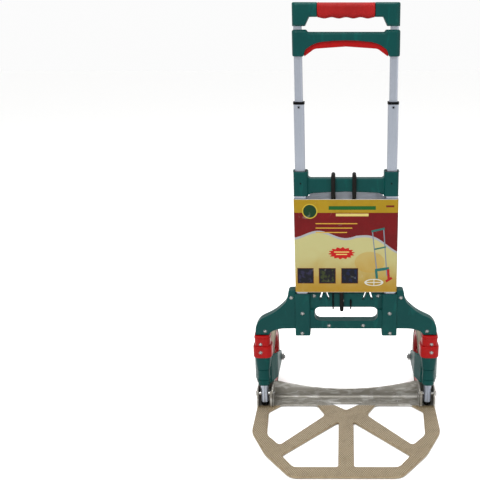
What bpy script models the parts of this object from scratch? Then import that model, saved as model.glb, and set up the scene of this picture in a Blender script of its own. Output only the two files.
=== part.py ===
"""A foldaway hand truck: a fold-up toe plate, two swinging wheels and a three-stage telescopic handle.

Metres, +Z up. X runs across the truck and Y runs back. The origin is on the floor, under the middle of the
whole truck. Inside the script every shape is written in truck coordinates, whose Y starts in the plane of the
tubes and legs; the empty named truck carries them to their place. The wheel radius sets the leg spacing,
because the folded wheels lie side by side between the legs.
"""
import math

import bmesh
import bpy
from mathutils import Vector

# ---- clearances -------------------------------------------------------------------------------------------
GAP = 0.0003            # between two pieces that touch on the real truck
SLIDE_GAP = 0.0004      # on each side of a sliding tube
RUN_GAP = 0.0006        # round a turning shaft

# ---- wheels and legs --------------------------------------------------------------------------------------
WHEEL_R = 0.067
WHEEL_WIDTH = 0.0295
TYRE_DEPTH = 0.0072
PIVOT_Z = 0.0335        # the toe plate's hinge
SHEET = 0.003           # the toe plate's flange, side walls and inner ears
FOLD_CLEAR = 0.0005     # the folded flange lies this far under the wheels
FLANGE_BACK = PIVOT_Z + SHEET + FOLD_CLEAR
WHEEL_CLEAR = 0.002     # flange to wheel
FOLDED_CLEAR = 0.001    # folded wheel to the middle of the truck
AXLE_BACK = FLANGE_BACK + WHEEL_CLEAR + WHEEL_R
AXLE_Z = WHEEL_R
AXLE_R = 0.004
LEG_X = AXLE_BACK + WHEEL_R + FOLDED_CLEAR
LEG_R = 0.0082
LEG_WALL = 0.0016
LEG_LOW = 0.016
LEG_SOCKET = 0.026      # how far a leg goes up into the lower frame
FORK_INNER = 0.027      # outer faces of the fork's plates, from the leg axis
FORK_OUTER = 0.022
FORK_PLATE = 0.004
FORK_TIP_R = 0.0155
KNUCKLE_LOW = 0.0575
KNUCKLE_RISE = 0.0577   # knuckle's top above the axle
KNUCKLE_TOP = AXLE_Z + KNUCKLE_RISE
COLLAR_LOW = KNUCKLE_TOP + GAP
COLLAR_HEIGHT = 0.049
COLLAR_TOP = COLLAR_LOW + COLLAR_HEIGHT

# ---- toe plate --------------------------------------------------------------------------------------------
PIN_R = 0.004
TOE_REACH = 0.253       # front edge, in front of the leg axis
TOE_HALF = 0.190
TOE_UNDER = 0.0020
TOE_THICK = 0.0035
TOE_TOP = TOE_UNDER + TOE_THICK
FLANGE_MID = 0.0245     # flange's height at the middle
FLANGE_END = 0.0440     # and at its ends
EAR_BACK_TOP = 0.0535
EAR_FRONT = -0.010
EAR_INNER = 0.0155      # inner ear's outside face, from the leg axis towards the middle
FOOT_R = 0.0055

# ---- telescopic tubes -------------------------------------------------------------------------------------
TUBE_X = 0.089
OUTER_TUBE = 0.024
TUBE_WALL = 0.0018
INNER_WALL = 0.0015
MID_TUBE = OUTER_TUBE - 2 * TUBE_WALL - 2 * SLIDE_GAP
INNER_TUBE = MID_TUBE - 2 * TUBE_WALL - 2 * SLIDE_GAP
INNER_HALF = INNER_TUBE / 2
TUBE_CORNER = 0.17      # corner radius as a share of a tube's width
TUBE_FLOOR = 0.004
OUTER_LENGTH = 0.3335
MID_LENGTH = 0.330
INNER_LENGTH = 0.315
MID_OUT = 0.133         # how far each stage stands out of the last one
INNER_OUT = 0.170
BUSH_HEIGHT = 0.0047

# ---- lower frame ------------------------------------------------------------------------------------------
FRAME_LOW = COLLAR_TOP + GAP
FRAME_HEIGHT = 0.0917
FRAME_TOP = FRAME_LOW + FRAME_HEIGHT
FRAME_HALF = 0.0128     # half depth of the arms
RIB_WALL = 0.0032       # plastic round an outer tube
RIB_HALF = OUTER_TUBE / 2 + GAP + RIB_WALL
BAR_HALF = 0.0080       # half depth of the bar that the bungee goes round
SLOT_HALF = 0.0645
SLOT_LOW = FRAME_LOW + 0.0317
SLOT_HIGH = FRAME_LOW + 0.0607

# ---- levels up the tubes ----------------------------------------------------------------------------------
OUTER_LOW = FRAME_LOW + TUBE_FLOOR
OUTER_TOP = OUTER_LOW + OUTER_LENGTH
BRACKET_TOP = OUTER_TOP + 0.006
BRACKET_LOW = BRACKET_TOP - 0.0484
BRACKET_BAR_HALF = 0.010
BRACKET_DIP = 0.014     # the cross bar's top below the sleeves' tops
MID_TOP = OUTER_TOP + MID_OUT
MID_LOW = MID_TOP - MID_LENGTH
INNER_TOP = MID_TOP + INNER_OUT
INNER_LOW = INNER_TOP - INNER_LENGTH
HANDLE_TOP = INNER_TOP + 0.0125
HANDLE_LOW = HANDLE_TOP - 0.0415
BAR_TOP = HANDLE_LOW - 0.006
BAR_LOW = BAR_TOP - 0.0475

# ---- release ----------------------------------------------------------------------------------------------
TRIGGER_TRAVEL = 0.008
TRIGGER_HALF = 0.0092
ROD_R = 0.002
LOCK_BLOCK = 0.0215
LOCK_PIN_R = 0.0022
LOCK_PIN_TRAVEL = 0.0025

# ---- card and bungee --------------------------------------------------------------------------------------
CARD_HALF_X = TUBE_X + OUTER_TUBE / 2 + 0.0008
CARD_HALF_Y = 0.0160
CARD_WALL = 0.0008
CARD_LOW = FRAME_TOP + 0.0050
CARD_TOP = BRACKET_LOW - 0.0055
CORD_D = 0.008
WIRE_D = 0.003
LEFT_RUN_X = -0.025     # where the cord crosses the bars
MID_RUN_X = -0.009
RIGHT_RUN_X = 0.016
RIGHT_HOOK_X = 0.0105

# ---- the whole truck --------------------------------------------------------------------------------------
PLANE_Y = (TOE_REACH - AXLE_BACK - WHEEL_R) / 2
SIDES = (("left", -1), ("right", 1))

# joint axes in truck coordinates: each body's empty stands on its joint's axis
PIVOTS = {
    "frame": (0, 0, 0),
    "mid_stage": (0, 0, MID_LOW),
    "inner_stage": (0, 0, INNER_LOW),
    "release": (0, 0, INNER_LOW),
    "lock_pins": (0, 0, INNER_LOW - LOCK_BLOCK / 2),
    "toe": (0, 0, PIVOT_Z),
    "fork_left": (-LEG_X, 0, 0),
    "fork_right": (LEG_X, 0, 0),
    "wheel_left": (-LEG_X, AXLE_BACK, AXLE_Z),
    "wheel_right": (LEG_X, AXLE_BACK, AXLE_Z),
}


# ---- scene and materials ----------------------------------------------------------------------------------
def clear_scene():
    for item in list(bpy.data.objects):
        bpy.data.objects.remove(item)


def material(name, colour, roughness, metallic=0.0):
    """A Principled material; colour is given as a person reads it off a screen, 0 to 255."""
    made = bpy.data.materials.new(name)
    made.use_nodes = True
    shader = made.node_tree.nodes["Principled BSDF"]
    shader.inputs["Base Color"].default_value = [(c / 255) ** 2.2 for c in colour] + [1]
    shader.inputs["Roughness"].default_value = roughness
    shader.inputs["Metallic"].default_value = metallic
    return made


def make_materials():
    return {
        "green": material("green_plastic", (24, 92, 82), 0.42),
        "red": material("red_plastic", (190, 28, 30), 0.4),
        "grip": material("red_rubber", (196, 34, 34), 0.6),
        "black": material("black_plastic", (24, 24, 24), 0.5),
        "tube": material("drawn_aluminium", (178, 184, 194), 0.32, 1.0),
        "tread": material("tread_aluminium", (178, 162, 136), 0.38, 1.0),
        "steel": material("zinc_steel", (196, 196, 192), 0.25, 1.0),
        "card": material("printed_card", (186, 148, 34), 0.5),
        "tyre": material("grey_rubber", (128, 118, 102), 0.75),
        "rubber": material("black_rubber", (20, 20, 20), 0.8),
        "cord": material("black_cord", (18, 18, 18), 0.8),
    }


def make_bodies():
    """One empty for each moving body, on its joint's axis, all under the empty named truck."""
    truck = bpy.data.objects.new("truck", None)
    bpy.context.collection.objects.link(truck)
    truck.location = (0, PLANE_Y, 0)
    made = {}
    for name, pivot in PIVOTS.items():
        empty = bpy.data.objects.new(name + "_body", None)
        bpy.context.collection.objects.link(empty)
        empty.parent = truck
        empty.location = pivot
        made[name] = empty
    return made


def place(item, body):
    item.parent = BODIES[body]
    item.location = -Vector(PIVOTS[body])


# ---- outlines ---------------------------------------------------------------------------------------------
def arc_at(corner, before, after, radius, steps):
    """The points of a fillet of this radius at a corner, no longer than half of either edge."""
    to_before = (before - corner).normalized()
    to_after = (after - corner).normalized()
    half = to_before.angle(to_after) / 2
    longest = 0.49 * min((before - corner).length, (after - corner).length)
    reach = min(radius / math.tan(half), longest)
    centre = corner + (to_before + to_after).normalized() * (reach / math.cos(half))
    start = corner + to_before * reach - centre
    sweep = start.angle_signed(corner + to_after * reach - centre)
    points = []
    for step in range(steps + 1):
        turn = -sweep * step / steps
        x = start.x * math.cos(turn) - start.y * math.sin(turn)
        y = start.x * math.sin(turn) + start.y * math.cos(turn)
        points.append((centre.x + x, centre.y + y))
    return points


def outline(corners, steps=3):
    """A polygon from (a, b) or (a, b, radius) corners; a corner with a radius becomes an arc."""
    points = []
    for index, corner in enumerate(corners):
        if len(corner) == 2:
            points.append(corner)
            continue
        before = Vector(corners[index - 1][:2])
        after = Vector(corners[(index + 1) % len(corners)][:2])
        points += arc_at(Vector(corner[:2]), before, after, corner[2], steps)
    return points


def mirrored(half):
    """A whole outline from its right half, which runs from the top middle to the bottom middle."""
    left = [(-corner[0], *corner[1:]) for corner in reversed(half) if abs(corner[0]) > 1e-9]
    return half + left


def box_outline(a_low, a_high, b_low, b_high, radius=0.0):
    corners = [(a_low, b_low), (a_high, b_low), (a_high, b_high), (a_low, b_high)]
    if radius:
        corners = [(*corner, radius) for corner in corners]
    return corners


def circle(radius, count, centre=(0, 0)):
    turn = 2 * math.pi / count
    return [(centre[0] + radius * math.cos(i * turn), centre[1] + radius * math.sin(i * turn))
            for i in range(count)]


def on_axis(axis, along, a, b):
    """A point at this distance along an axis; a and b are the other two coordinates, in order."""
    return {"X": (along, a, b), "Y": (a, along, b), "Z": (a, b, along)}[axis]


# ---- solids -----------------------------------------------------------------------------------------------
def finish(name, shape, kind, body):
    """Turns a bmesh into a named object on its body, with its faces pointing out."""
    bmesh.ops.recalc_face_normals(shape, faces=shape.faces)
    mesh = bpy.data.meshes.new(name)
    shape.to_mesh(mesh)
    shape.free()
    made = bpy.data.objects.new(name, mesh)
    bpy.context.collection.objects.link(made)
    if kind in MATERIALS:
        mesh.materials.append(MATERIALS[kind])
    place(made, body)
    return made


def smooth(item, degrees=40):
    item.data.shade_smooth()
    item.data.set_sharp_from_angle(angle=math.radians(degrees))
    return item


def loft(name, rings, kind, body, inner=None):
    """Skins a list of rings. Without inner rings the ends are capped; with them the solid is a sleeve."""
    shape = bmesh.new()
    skins = [rings] if inner is None else [rings, inner]
    ends = []
    for skin in skins:
        loops = [[shape.verts.new(point) for point in ring] for ring in skin]
        for low, high in zip(loops, loops[1:]):
            bridge(shape, low, high)
        ends.append((loops[0], loops[-1]))
    for end in (0, 1):
        if inner is None:
            shape.faces.new(ends[0][end])
        else:
            bridge(shape, ends[0][end], ends[1][end])
    return finish(name, shape, kind, body)


def bridge(shape, low, high):
    count = len(low)
    for i in range(count):
        j = (i + 1) % count
        shape.faces.new((low[i], low[j], high[j], high[i]))


def prism(name, points, axis, low, high, kind, body, chamfer_low=0.0, chamfer_high=0.0):
    """An outline pushed along an axis; either end's edge can be chamfered."""
    shape = bmesh.new()
    ends = []
    for along in (low, high):
        ends.append([shape.verts.new(on_axis(axis, along, a, b)) for a, b in points])
    bridge(shape, *ends)
    caps = [shape.faces.new(end) for end in ends]
    bmesh.ops.recalc_face_normals(shape, faces=shape.faces)
    for cap, width in zip(caps, (chamfer_low, chamfer_high)):
        if width:
            bmesh.ops.bevel(shape, geom=list(cap.edges), offset=width, segments=2, profile=0.5,
                            affect="EDGES", clamp_overlap=True)
    return finish(name, shape, kind, body)


def turned(name, profile, axis, centre, kind, body, count=16):
    """A capped turned piece: profile is (position along the axis, radius) from one end to the other."""
    rings = [[on_axis(axis, along, a, b) for a, b in circle(radius, count, centre)]
             for along, radius in profile]
    return smooth(loft(name, rings, kind, body))


def turned_ring(name, profile, axis, centre, kind, body, count=40):
    """A ring: a closed profile of (position along the axis, radius) points, all off the axis."""
    shape = bmesh.new()
    loops = [[shape.verts.new(on_axis(axis, along, a, b)) for a, b in circle(radius, count, centre)]
             for along, radius in profile]
    for first, second in zip(loops, loops[1:] + loops[:1]):
        bridge(shape, first, second)
    return smooth(finish(name, shape, kind, body))


def add_boolean(target, tool, operation):
    tool.hide_render = True
    tool.display_type = "WIRE"
    modifier = target.modifiers.new(tool.name, "BOOLEAN")
    modifier.operation = operation
    modifier.solver = "EXACT"
    modifier.object = tool


def cut(target, *tools):
    for tool in tools:
        add_boolean(target, tool, "DIFFERENCE")


def join(target, *tools):
    for tool in tools:
        add_boolean(target, tool, "UNION")


def keep(target, tool):
    add_boolean(target, tool, "INTERSECT")


def through(radius):
    """A drill's profile, long enough for any piece."""
    return [(-0.05, radius), (0.05, radius)]


def round_ends(target, half_x, half_y, low, high, radius, body):
    """Rounds the upright corners of a piece that is this wide and deep, as seen from above."""
    spare = 0.0002
    plan = box_outline(-half_x - spare, half_x + spare, -half_y - spare, half_y + spare, radius)
    keep(target, prism(target.name + "_plan", outline(plan, steps=4), "Z", low - 0.01, high + 0.01, None, body))


# ---- telescopic tubes -------------------------------------------------------------------------------------
def square_ring(x, width, z):
    half = width / 2
    points = outline(box_outline(x - half, x + half, -half, half, TUBE_CORNER * width), steps=2)
    return [(a, b, z) for a, b in points]


def square_tube(name, x, width, wall, low, high, body):
    bore = width - 2 * wall
    tube = loft(name, [square_ring(x, width, low), square_ring(x, width, high)], "tube", body,
                inner=[square_ring(x, bore, low), square_ring(x, bore, high)])
    return smooth(tube, 50)


def square_channel(name, x, width, low, high, body):
    """A cutter for a square hole."""
    return loft(name, [square_ring(x, width, low), square_ring(x, width, high)], None, body)


def guide_bush(name, x, width, bore, low, body):
    bush = loft(name, [square_ring(x, width, low), square_ring(x, width, low + BUSH_HEIGHT)], "black", body,
                inner=[square_ring(x, bore, low), square_ring(x, bore, low + BUSH_HEIGHT)])
    return smooth(bush, 50)


def make_tubes():
    for side, s in SIDES:
        x = s * TUBE_X
        outer = square_tube("outer_tube_" + side, x, OUTER_TUBE, TUBE_WALL, OUTER_LOW + GAP, OUTER_TOP, "frame")
        cut(outer, turned("outer_rivet_hole_" + side, through(RIVET_HOLE_R), "Y", (x, RIVET_Z), None, "frame", 8))
        guide_bush("outer_bush_" + side, x, OUTER_TUBE, MID_TUBE + 2 * GAP, OUTER_TOP + GAP, "frame")

        mid = square_tube("mid_tube_" + side, x, MID_TUBE, TUBE_WALL, MID_LOW, MID_TOP, "mid_stage")
        for index, shift in enumerate((INNER_UP, -INNER_DOWN)):
            hole = [(0, LOCK_PIN_R + RUN_GAP), (MID_TUBE, LOCK_PIN_R + RUN_GAP)]
            name = "lock_hole_{}_{}".format(side, index)
            cut(mid, turned(name, hole, "Y", (x, LOCK_PIN_Z + shift), None, "mid_stage", 10))
        guide_bush("mid_bush_" + side, x, MID_TUBE + 0.0016, INNER_TUBE + 2 * GAP, MID_TOP + GAP, "mid_stage")

        inner = square_tube("inner_tube_" + side, x, INNER_TUBE, INNER_WALL, INNER_LOW, INNER_TOP, "inner_stage")
        slot = box_outline(-TAB_HALF - GAP, TAB_HALF + GAP, TAB_LOW - 2 * GAP, TAB_TOP + TRIGGER_TRAVEL + 2 * GAP)
        cut(inner, prism("tab_slot_" + side, slot, "X", s * (TUBE_X - INNER_TUBE), s * TUBE_X, None, "inner_stage"))


# ---- lower frame ------------------------------------------------------------------------------------------
RIVET_R = 0.0022
RIVET_HOLE_R = RIVET_R + GAP
RIVET_HEAD = 0.0042
RIVET_Z = FRAME_LOW + 0.0497


def hook_notch(x_top, x_foot):
    """A slanting notch in the frame's top edge, as four corners of the outline."""
    foot = FRAME_TOP - 0.0112
    half = 0.0016
    return [(x_top - half, FRAME_TOP), (x_foot - half, foot), (x_foot + half, foot), (x_top + half, FRAME_TOP)]


def frame_outline():
    """The right half runs along the top edge, over the shoulder, down the arm and back along the underside."""
    rib = TUBE_X + RIB_HALF
    arm_out = LEG_X + 0.0138
    arm_in = LEG_X - 0.0135
    neck = arm_in - rib
    half = [(0, FRAME_TOP)]
    half += hook_notch(0.0400, 0.0345) + hook_notch(0.0485, 0.0530)
    half += [
        (rib + 0.0010, FRAME_TOP),
        (rib + 0.0025, FRAME_TOP + 0.0075, 0.002),
        (rib + 0.0120, FRAME_TOP + 0.0075, 0.004),
        (rib + 0.0165, FRAME_LOW + 0.0735, 0.012),
        (rib + 0.0165 + 0.45 * neck, FRAME_LOW + 0.0500, 0.014),
        (arm_out - 0.010, FRAME_LOW + 0.0345, 0.012),
        (arm_out - 0.0005, FRAME_LOW + 0.0190, 0.010),
        (arm_out, FRAME_LOW),
        (arm_in, FRAME_LOW),
        (arm_in - 0.13 * neck, FRAME_LOW + 0.0085, 0.006),
        (arm_in - 0.45 * neck, FRAME_LOW + 0.0140, 0.010),
        (rib + 0.0010, FRAME_LOW + 0.0145, 0.002),
        (0, FRAME_LOW + 0.0145),
    ]
    return outline(mirrored(half))


def frame_shell(name, s):
    """One half of the moulding: s is -1 for the front shell and 1 for the back one."""
    split = s * GAP / 2
    face = s * FRAME_HALF
    low, high = sorted((split, face))
    chamfers = {"chamfer_low": 0.0022} if s < 0 else {"chamfer_high": 0.0022}
    shell = prism(name, frame_outline(), "Y", low, high, "green", "frame", **chamfers)

    # the bar between the ribs is thinner, so that the bungee lies in it
    pocket_x = TUBE_X - RIB_HALF + 0.001
    pocket = box_outline(-pocket_x, pocket_x, SLOT_HIGH - 0.004, FRAME_TOP + 0.01)
    deep, out = sorted((s * BAR_HALF, s * (FRAME_HALF + 0.005)))
    cut(shell, prism(name + "_pocket", pocket, "Y", deep, out, None, "frame"))

    for side, x_sign in SIDES:
        x = x_sign * TUBE_X
        edge = RIB_HALF
        rib = box_outline(x - edge, x + edge, FRAME_LOW, FRAME_TOP, 0.004)
        near, far = sorted((split, s * RIB_HALF))
        rib = prism(name + "_rib_" + side, outline(rib, steps=2), "Y", near, far, None, "frame", **chamfers)
        join(shell, rib)
    slot = outline(box_outline(-SLOT_HALF, SLOT_HALF, SLOT_LOW, SLOT_HIGH, 0.012), steps=3)
    cut(shell, prism(name + "_slot", slot, "Y", -0.03, 0.03, None, "frame"))
    for side, x_sign in SIDES:
        x = x_sign * TUBE_X
        bore = OUTER_TUBE + 2 * GAP
        cut(shell, square_channel(name + "_tube_hole_" + side, x, bore, OUTER_LOW, FRAME_TOP + 0.02, "frame"))
        leg = [(FRAME_LOW - 0.01, LEG_R + GAP), (FRAME_LOW + LEG_SOCKET + GAP, LEG_R + GAP)]
        cut(shell, turned(name + "_leg_hole_" + side, leg, "Z", (x_sign * LEG_X, 0), None, "frame", 16))
        cut(shell, turned(name + "_rivet_hole_" + side, through(RIVET_HOLE_R), "Y", (x, RIVET_Z), None, "frame", 8))
    return shell


def rivet_head(face):
    """A domed head on a face at this distance, from the dome's top to the shaft."""
    return [(face + 0.0021, 0.0016), (face + 0.0014, 0.0034), (face + GAP, RIVET_HEAD), (face + GAP, RIVET_R)]


def through_rivet(name, x, z, face, body):
    """A rivet through the whole depth, with a head on both faces."""
    front = [(-along, radius) for along, radius in rivet_head(face)]
    turned(name, front + rivet_head(face)[::-1], "Y", (x, z), "steel", body, 8)


def tube_rivet(name, x, s):
    """A rivet through one shell and one wall of the outer tube, which leaves the tube clear inside."""
    profile = rivet_head(RIB_HALF) + [(OUTER_TUBE / 2 - TUBE_WALL + GAP, RIVET_R)]
    turned(name, [(s * along, radius) for along, radius in profile], "Y", (x, RIVET_Z), "steel", "frame", 8)


def make_lower_frame():
    frame_shell("lower_frame_front", -1)
    frame_shell("lower_frame_back", 1)
    for side, s in SIDES:
        tube_rivet("tube_rivet_front_" + side, s * TUBE_X, -1)
        tube_rivet("tube_rivet_back_" + side, s * TUBE_X, 1)


# ---- middle bracket ---------------------------------------------------------------------------------------
def make_bracket():
    """The moulding at the top of the outer tubes: two sleeves and a cross bar."""
    sleeve_in = TUBE_X - 0.0156
    sleeve_out = TUBE_X + 0.0130
    bar_top = BRACKET_TOP - BRACKET_DIP
    half = [
        (0, bar_top),
        (sleeve_in - 0.0010, bar_top, 0.003),
        (sleeve_in, BRACKET_TOP, 0.0015),
        (sleeve_out, BRACKET_TOP, 0.003),
        (sleeve_out, BRACKET_LOW, 0.003),
        (sleeve_in, BRACKET_LOW, 0.0015),
        (sleeve_in - 0.0020, BRACKET_LOW + 0.0030, 0.002),
        (0.5 * sleeve_in, BRACKET_LOW + 0.0066),
        (0, BRACKET_LOW + 0.0076),
    ]
    depth = OUTER_TUBE / 2 + RIB_WALL
    bracket = prism("middle_bracket", outline(mirrored(half)), "Y", -depth, depth, "green", "frame",
                    chamfer_low=0.002, chamfer_high=0.002)
    round_ends(bracket, sleeve_out, depth, BRACKET_LOW, BRACKET_TOP, 0.006, "frame")
    waist = box_outline(-sleeve_in + 0.004, sleeve_in - 0.004, BRACKET_LOW - 0.01, BRACKET_TOP + 0.01)
    for name, low, high in (("front", -0.03, -BRACKET_BAR_HALF), ("back", BRACKET_BAR_HALF, 0.03)):
        cut(bracket, prism("bracket_waist_" + name, waist, "Y", low, high, None, "frame"))
    for side, s in SIDES:
        bore = OUTER_TUBE + 2 * GAP
        hole = square_channel("bracket_hole_" + side, s * TUBE_X, bore, BRACKET_LOW - 0.01, BRACKET_TOP + 0.01, "frame")
        cut(bracket, hole)


# ---- legs -------------------------------------------------------------------------------------------------
COLLAR_RIVET_X = 0.003
COLLAR_RIVET_Z = COLLAR_LOW + 0.0302


def rounded_ring(x, half_x, half_y, radius, z):
    points = outline(box_outline(x - half_x, x + half_x, -half_y, half_y, radius), steps=3)
    return [(a, b, z) for a, b in points]


def make_legs():
    for side, s in SIDES:
        x = s * LEG_X
        top = FRAME_LOW + LEG_SOCKET
        leg_rings = [[(a, b, z) for a, b in circle(LEG_R, 16, (x, 0))] for z in (LEG_LOW, top)]
        bore_rings = [[(a, b, z) for a, b in circle(LEG_R - LEG_WALL, 16, (x, 0))] for z in (LEG_LOW, top)]
        leg = smooth(loft("leg_tube_" + side, leg_rings, "tube", "frame", inner=bore_rings))
        pin_hole = [(x - 0.02, PIN_R + RUN_GAP), (x + 0.02, PIN_R + RUN_GAP)]
        cut(leg, turned("leg_pin_hole_" + side, pin_hole, "X", (0, PIVOT_Z), None, "frame", 12))
        rivet_x = x + s * COLLAR_RIVET_X
        cut(leg, turned("leg_rivet_hole_" + side, through(RIVET_HOLE_R), "Y", (rivet_x, COLLAR_RIVET_Z), None,
                        "frame", 8))

        spigot = LEG_R - LEG_WALL - GAP
        cap = [(LEG_LOW - 0.008, LEG_R - 0.001), (LEG_LOW - 0.007, LEG_R), (LEG_LOW - GAP, LEG_R),
               (LEG_LOW - GAP, spigot), (LEG_LOW + 0.008, spigot)]
        turned("leg_end_cap_" + side, cap, "Z", (x, 0), "black", "frame")

        levels = [(COLLAR_LOW, 0.0200), (COLLAR_LOW + 0.023, 0.0200), (COLLAR_LOW + 0.0255, 0.0166),
                  (COLLAR_TOP, 0.0166)]
        outer = [rounded_ring(x, half, half, 0.009, z) for z, half in levels]
        inner = [[(a, b, z) for a, b in circle(LEG_R + GAP, 16, (x, 0))] for z, _ in levels]
        collar = smooth(collar_loft("leg_collar_" + side, outer, inner))
        cut(collar, turned("collar_rivet_hole_" + side, through(RIVET_HOLE_R), "Y", (rivet_x, COLLAR_RIVET_Z),
                           None, "frame", 8))
        through_rivet("collar_rivet_" + side, rivet_x, COLLAR_RIVET_Z, 0.0166, "frame")


def collar_loft(name, outer, inner):
    """Starts the bore's rings at the corner where the outer rings start, so that the end faces stay flat."""
    turn = len(inner[0]) * 5 // 8
    inner = [ring[turn:] + ring[:turn] for ring in inner]
    return loft(name, outer, "red", "frame", inner=inner)


# ---- card sleeve and bungee -------------------------------------------------------------------------------
def make_card():
    inner = [rounded_ring(0, CARD_HALF_X, CARD_HALF_Y - CARD_WALL, 0.004, z) for z in (CARD_LOW, CARD_TOP)]
    outer = [rounded_ring(0, CARD_HALF_X + CARD_WALL, CARD_HALF_Y, 0.0048, z) for z in (CARD_LOW, CARD_TOP)]
    smooth(loft("card_sleeve", outer, "card", "frame", inner=inner))


# the cord's route: up the front from the left hook, over the bracket's bar, down the back, under the frame's
# bar, up the front again, over the bracket's bar and down the back to the right hook
INSIDE_Y = 0.0092       # where the cord lies inside the card


def wrap(x, half, edge, up, radius, runs):
    """Points round a bar, front to back: over its upper edge (up = 1) or under its lower one (up = -1)."""
    out = half + radius
    diagonal = radius * math.sqrt(0.5)
    return [(x, -out, edge - up * runs[0]), (x, -out, edge), (x, -half - diagonal, edge + up * diagonal),
            (x, -half, edge + up * radius), (x, half, edge + up * radius), (x, half + diagonal, edge + up * diagonal),
            (x, out, edge), (x, out, edge - up * runs[1])]


def card_run(x_low, x_high, s):
    """Points inside the card, upwards; s is -1 in front and 1 behind. The ends stay clear of the card's edges."""
    lean = x_high - x_low
    mid = (CARD_LOW + CARD_TOP) / 2
    return [(x_low, s * 0.0116, CARD_LOW - 0.0025), (x_low, s * 0.0088, CARD_LOW + 0.0035),
            (x_low + 0.5 * lean, s * INSIDE_Y, mid), (x_low + 0.9 * lean, s * INSIDE_Y, CARD_TOP - 0.025),
            (x_high, s * 0.0100, CARD_TOP - 0.0020)]


def cord_route():
    radius = CORD_D / 2 + 2 * GAP
    up_over = (BRACKET_BAR_HALF, BRACKET_TOP - BRACKET_DIP, 1, radius, (0.0280, 0.0280))
    end = CARD_LOW + 0.030
    route = [(LEFT_RUN_X, -INSIDE_Y, end)] + card_run(LEFT_RUN_X, LEFT_RUN_X, -1)[2:]
    route += wrap(LEFT_RUN_X, *up_over)
    route += card_run(MID_RUN_X, LEFT_RUN_X, 1)[::-1]
    route += wrap(MID_RUN_X, BAR_HALF, SLOT_HIGH, -1, radius, (0.0290, 0.0290))[::-1]
    route += card_run(MID_RUN_X, RIGHT_RUN_X, -1)
    route += wrap(RIGHT_RUN_X, *up_over)
    route += card_run(RIGHT_HOOK_X, RIGHT_RUN_X, 1)[::-1][:3] + [(RIGHT_HOOK_X, INSIDE_Y, end)]
    return route


def hook_route(x_top, x_low, s):
    """A wire hook from the cord's end down to the frame's bar and up the bar's other side."""
    radius = WIRE_D / 2 + 0.0010
    runs = (0.030, 0.018) if s < 0 else (0.018, 0.030)
    route = wrap(x_low, BAR_HALF, SLOT_HIGH, -1, radius, runs)
    return [(x_top, s * INSIDE_Y, CARD_LOW + 0.0295)] + (route if s < 0 else route[::-1])


def smooth_route(points, step):
    """Points along a Catmull-Rom curve through the route, a step apart or less where the route is closer."""
    route = [Vector(point) for point in points]
    route = [2 * route[0] - route[1]] + route + [2 * route[-1] - route[-2]]
    made = []
    for p0, p1, p2, p3 in zip(route, route[1:], route[2:], route[3:]):
        pieces = max(1, round((p2 - p1).length / step))
        for index in range(pieces):
            t = index / pieces
            made.append(0.5 * (2 * p1 + (p2 - p0) * t + (2 * p0 - 5 * p1 + 4 * p2 - p3) * t ** 2
                               + (3 * p1 - p0 - 3 * p2 + p3) * t ** 3))
    made.append(route[-2])
    return made


def tube_along(name, points, step, diameter, kind, body):
    curve = bpy.data.curves.new(name, "CURVE")
    curve.dimensions = "3D"
    curve.bevel_depth = diameter / 2
    curve.bevel_resolution = 2
    curve.use_fill_caps = True
    path = smooth_route(points, step)
    spline = curve.splines.new("POLY")
    spline.points.add(len(path) - 1)
    for point, place_at in zip(spline.points, path):
        point.co = (*place_at, 1)
    curve.materials.append(MATERIALS[kind])
    made = bpy.data.objects.new(name, curve)
    bpy.context.collection.objects.link(made)
    place(made, body)
    return made


def make_bungee():
    tube_along("bungee_cord", cord_route(), 0.016, CORD_D, "cord", "frame")
    left = hook_route(LEFT_RUN_X, LEFT_RUN_X - 0.0015, -1)
    right = hook_route(RIGHT_HOOK_X, RIGHT_HOOK_X - 0.001, 1)
    tube_along("bungee_hook_left", left, 0.012, WIRE_D, "steel", "frame")
    tube_along("bungee_hook_right", right, 0.012, WIRE_D, "steel", "frame")


# ---- handle -----------------------------------------------------------------------------------------------
GRIP_HALF = 0.0530
HANDLE_HALF = 0.0140    # half depth of the handle and of the release bar
CORE_HALF = 0.0092      # half depth of the bar inside the grip
END_ROUND = 0.010       # the handle's and release bar's upright corners
CORE_LOW = HANDLE_TOP - 0.0205
CORE_HIGH = HANDLE_TOP - 0.0040


def handle_shell(name, s):
    """Half of the top handle: a bar with a sleeve down over each inner tube, thinned where the grip sits."""
    edge = TUBE_X + INNER_HALF + 0.0020
    sleeve_in = TUBE_X - INNER_HALF - 0.0069
    bar_low = HANDLE_TOP - 0.0255
    half = [
        (0, CORE_HIGH), (GRIP_HALF + GAP, CORE_HIGH), (GRIP_HALF + GAP, HANDLE_TOP, 0.001),
        (edge, HANDLE_TOP, 0.003), (edge, HANDLE_LOW, 0.002), (sleeve_in, HANDLE_LOW, 0.002),
        (sleeve_in + 0.0006, bar_low - 0.004, 0.004), (sleeve_in - 0.0080, bar_low, 0.003),
        (GRIP_HALF + GAP, bar_low, 0.001), (GRIP_HALF + GAP, CORE_LOW), (0, CORE_LOW),
    ]
    split = s * GAP / 2
    low, high = sorted((split, s * HANDLE_HALF))
    chamfers = {"chamfer_low": 0.0025} if s < 0 else {"chamfer_high": 0.0025}
    shell = prism(name, outline(mirrored(half)), "Y", low, high, "green", "inner_stage", **chamfers)
    round_ends(shell, edge, HANDLE_HALF, HANDLE_LOW, HANDLE_TOP, END_ROUND, "inner_stage")
    core = box_outline(-GRIP_HALF - GAP, GRIP_HALF + GAP, CORE_LOW - 0.01, CORE_HIGH + 0.01)
    near, far = sorted((s * CORE_HALF, s * 0.03))
    cut(shell, prism(name + "_grip_seat", core, "Y", near, far, None, "inner_stage"))
    for side, x_sign in SIDES:
        bore = INNER_TUBE + 2 * GAP
        hole = square_channel(name + "_tube_hole_" + side, x_sign * TUBE_X, bore, HANDLE_LOW - 0.01, INNER_TOP + GAP,
                              "inner_stage")
        cut(shell, hole)


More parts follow.
